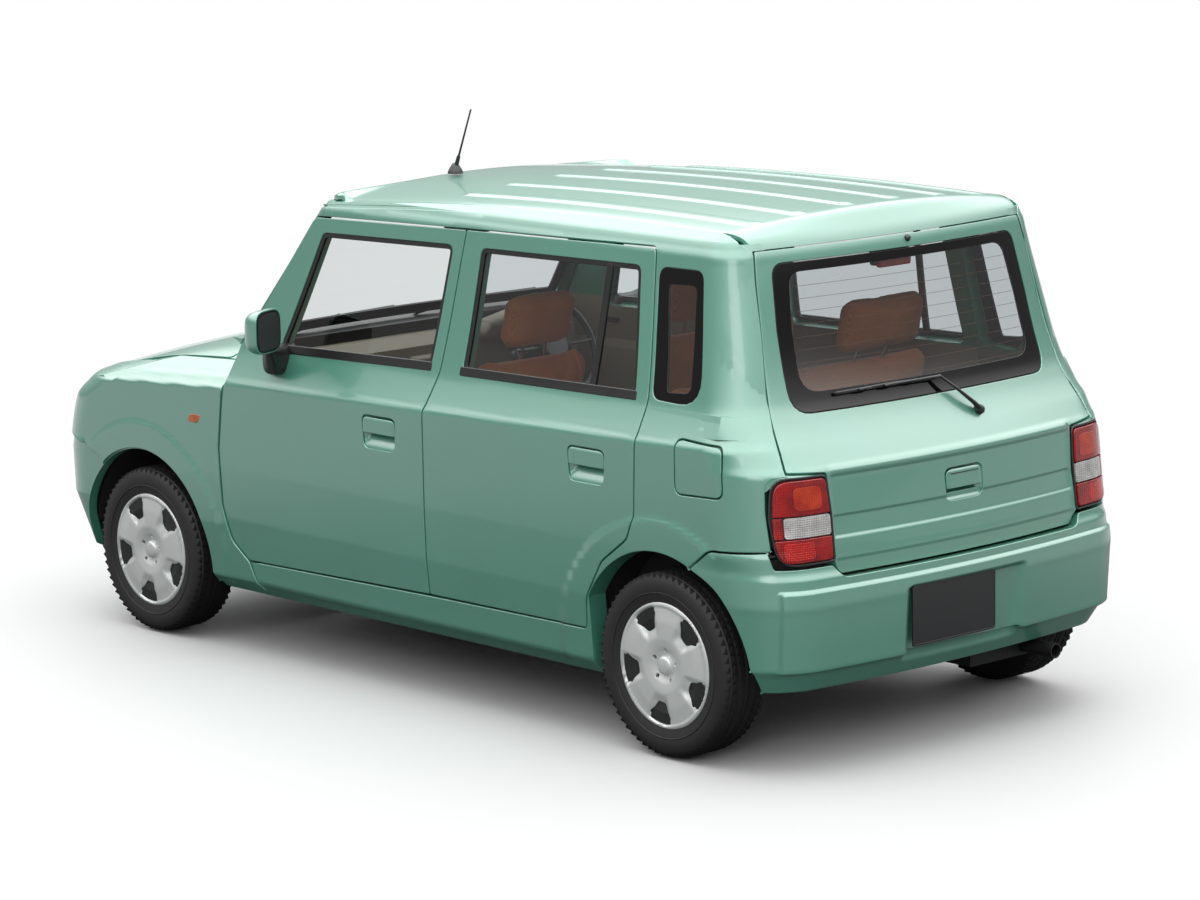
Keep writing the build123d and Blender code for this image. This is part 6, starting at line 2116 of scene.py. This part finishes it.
# ---- add-on -------------------------------------------------------------------------------------
class KEICAR_OT_stage(bpy.types.Operator):
    """Sets up the floor, the light and the camera."""
    bl_idname = "kei_car.stage"
    bl_label = "Stage"

    def execute(self, context):
        make_stage()
        return {"FINISHED"}


class KEICAR_OT_frame_finishes(bpy.types.Operator):
    """Gives every part of the frame its finish."""
    bl_idname = "kei_car.frame_finishes"
    bl_label = "Frame finishes"

    def execute(self, context):
        dress_frame()
        return {"FINISHED"}


class KEICAR_OT_body_panels(bpy.types.Operator):
    """Makes the side skins, the fuel flap and the roof."""
    bl_idname = "kei_car.body_panels"
    bl_label = "Body panels"

    def execute(self, context):
        make_body_panels()
        return {"FINISHED"}


class KEICAR_OT_doors(bpy.types.Operator):
    """Makes the skins and linings of the four side doors."""
    bl_idname = "kei_car.doors"
    bl_label = "Doors"

    def execute(self, context):
        make_doors()
        return {"FINISHED"}


class KEICAR_OT_tailgate(bpy.types.Operator):
    """Makes the tailgate's skin and lining."""
    bl_idname = "kei_car.tailgate"
    bl_label = "Tailgate"

    def execute(self, context):
        make_gate()
        return {"FINISHED"}


class KEICAR_OT_bonnet(bpy.types.Operator):
    """Makes the bonnet."""
    bl_idname = "kei_car.bonnet"
    bl_label = "Bonnet"

    def execute(self, context):
        make_nose()
        return {"FINISHED"}


class KEICAR_OT_rear_bumper(bpy.types.Operator):
    """Makes the rear bumper and the blank plate."""
    bl_idname = "kei_car.rear_bumper"
    bl_label = "Rear bumper"

    def execute(self, context):
        make_rear_bumper()
        return {"FINISHED"}


class KEICAR_OT_tail_lamps(bpy.types.Operator):
    """Makes both tail lamps."""
    bl_idname = "kei_car.tail_lamps"
    bl_label = "Tail lamps"

    def execute(self, context):
        make_tail_lamps()
        return {"FINISHED"}


class KEICAR_OT_tailgate_window(bpy.types.Operator):
    """Makes the tailgate's glass and its black border."""
    bl_idname = "kei_car.tailgate_window"
    bl_label = "Tailgate window"

    def execute(self, context):
        make_gate_glass()
        return {"FINISHED"}


class KEICAR_OT_side_windows(bpy.types.Operator):
    """Makes the side glass and its frames."""
    bl_idname = "kei_car.side_windows"
    bl_label = "Side windows"

    def execute(self, context):
        make_side_glass()
        return {"FINISHED"}


class KEICAR_OT_windscreen(bpy.types.Operator):
    """Makes the windscreen and its border."""
    bl_idname = "kei_car.windscreen"
    bl_label = "Windscreen"

    def execute(self, context):
        make_windscreen()
        return {"FINISHED"}


class KEICAR_OT_wheels(bpy.types.Operator):
    """Makes the tyres and the wheel covers."""
    bl_idname = "kei_car.wheels"
    bl_label = "Wheels"

    def execute(self, context):
        make_wheels()
        return {"FINISHED"}


class KEICAR_OT_handles(bpy.types.Operator):
    """Makes the handles of the doors and the tailgate."""
    bl_idname = "kei_car.handles"
    bl_label = "Handles"

    def execute(self, context):
        make_handles()
        return {"FINISHED"}


class KEICAR_OT_rear_wiper(bpy.types.Operator):
    """Makes the rear wiper and its washer nozzle."""
    bl_idname = "kei_car.rear_wiper"
    bl_label = "Rear wiper"

    def execute(self, context):
        make_rear_wiper()
        return {"FINISHED"}


class KEICAR_OT_high_lamp(bpy.types.Operator):
    """Makes the brake lamp inside the tailgate's glass."""
    bl_idname = "kei_car.high_lamp"
    bl_label = "High brake lamp"

    def execute(self, context):
        make_high_lamp()
        return {"FINISHED"}


class KEICAR_OT_defroster(bpy.types.Operator):
    """Makes the heating lines of the tailgate's glass."""
    bl_idname = "kei_car.defroster"
    bl_label = "Defroster"

    def execute(self, context):
        make_defroster()
        return {"FINISHED"}


class KEICAR_OT_door_mirrors(bpy.types.Operator):
    """Makes both door mirrors."""
    bl_idname = "kei_car.door_mirrors"
    bl_label = "Door mirrors"

    def execute(self, context):
        make_mirrors()
        return {"FINISHED"}


class KEICAR_OT_small_fittings(bpy.types.Operator):
    """Makes the side indicators, the aerial and the roof mouldings."""
    bl_idname = "kei_car.small_fittings"
    bl_label = "Small fittings"

    def execute(self, context):
        make_small_fittings()
        return {"FINISHED"}


class KEICAR_OT_front_wipers(bpy.types.Operator):
    """Makes the windscreen wipers."""
    bl_idname = "kei_car.front_wipers"
    bl_label = "Front wipers"

    def execute(self, context):
        make_front_wipers()
        return {"FINISHED"}


class KEICAR_OT_seats(bpy.types.Operator):
    """Makes the seats' pads and their bases."""
    bl_idname = "kei_car.seats"
    bl_label = "Seats"

    def execute(self, context):
        make_seats()
        return {"FINISHED"}


class KEICAR_OT_cabin(bpy.types.Operator):
    """Makes the steering wheel, the door fittings and the dashboard's fittings."""
    bl_idname = "kei_car.cabin"
    bl_label = "Cabin"

    def execute(self, context):
        make_cabin()
        return {"FINISHED"}


class KEICAR_OT_front_end(bpy.types.Operator):
    """Makes the fender skins, headlamps, grille slats and intake."""
    bl_idname = "kei_car.front_end"
    bl_label = "Front end"

    def execute(self, context):
        make_front()
        return {"FINISHED"}


STEPS = (
    KEICAR_OT_stage,
    KEICAR_OT_frame_finishes,
    KEICAR_OT_body_panels,
    KEICAR_OT_doors,
    KEICAR_OT_tailgate,
    KEICAR_OT_bonnet,
    KEICAR_OT_rear_bumper,
    KEICAR_OT_tail_lamps,
    KEICAR_OT_tailgate_window,
    KEICAR_OT_side_windows,
    KEICAR_OT_windscreen,
    KEICAR_OT_wheels,
    KEICAR_OT_handles,
    KEICAR_OT_rear_wiper,
    KEICAR_OT_high_lamp,
    KEICAR_OT_defroster,
    KEICAR_OT_door_mirrors,
    KEICAR_OT_small_fittings,
    KEICAR_OT_front_wipers,
    KEICAR_OT_seats,
    KEICAR_OT_cabin,
    KEICAR_OT_front_end,
)


class KEICAR_PT_panel(bpy.types.Panel):
    """Lists the sizes, the colours and the pieces."""
    bl_idname = "KEICAR_PT_panel"
    bl_label = "Kei car"
    bl_space_type = "VIEW_3D"
    bl_region_type = "UI"
    bl_category = "Kei car"

    def draw(self, context):
        for group in (context.scene.kei_car_sizes, context.scene.kei_car_colours):
            box = self.layout.box()
            for name in group.__annotations__:
                box.prop(group, name)
        column = self.layout.column(align=True)
        for step in STEPS:
            column.operator(step.bl_idname)


CLASSES = (KEICAR_Sizes, KEICAR_Colours) + STEPS + (KEICAR_PT_panel,)


def register():
    for item in CLASSES:
        bpy.utils.register_class(item)
    bpy.types.Scene.kei_car_sizes = bpy.props.PointerProperty(type=KEICAR_Sizes)
    bpy.types.Scene.kei_car_colours = bpy.props.PointerProperty(type=KEICAR_Colours)


def unregister():
    del bpy.types.Scene.kei_car_sizes, bpy.types.Scene.kei_car_colours
    for item in reversed(CLASSES):
        bpy.utils.unregister_class(item)


def main():
    """Runs every step in order."""
    register()
    for step in STEPS:
        getattr(bpy.ops.kei_car, step.bl_idname.split(".")[1])()


if __name__ == "__main__":
    main()
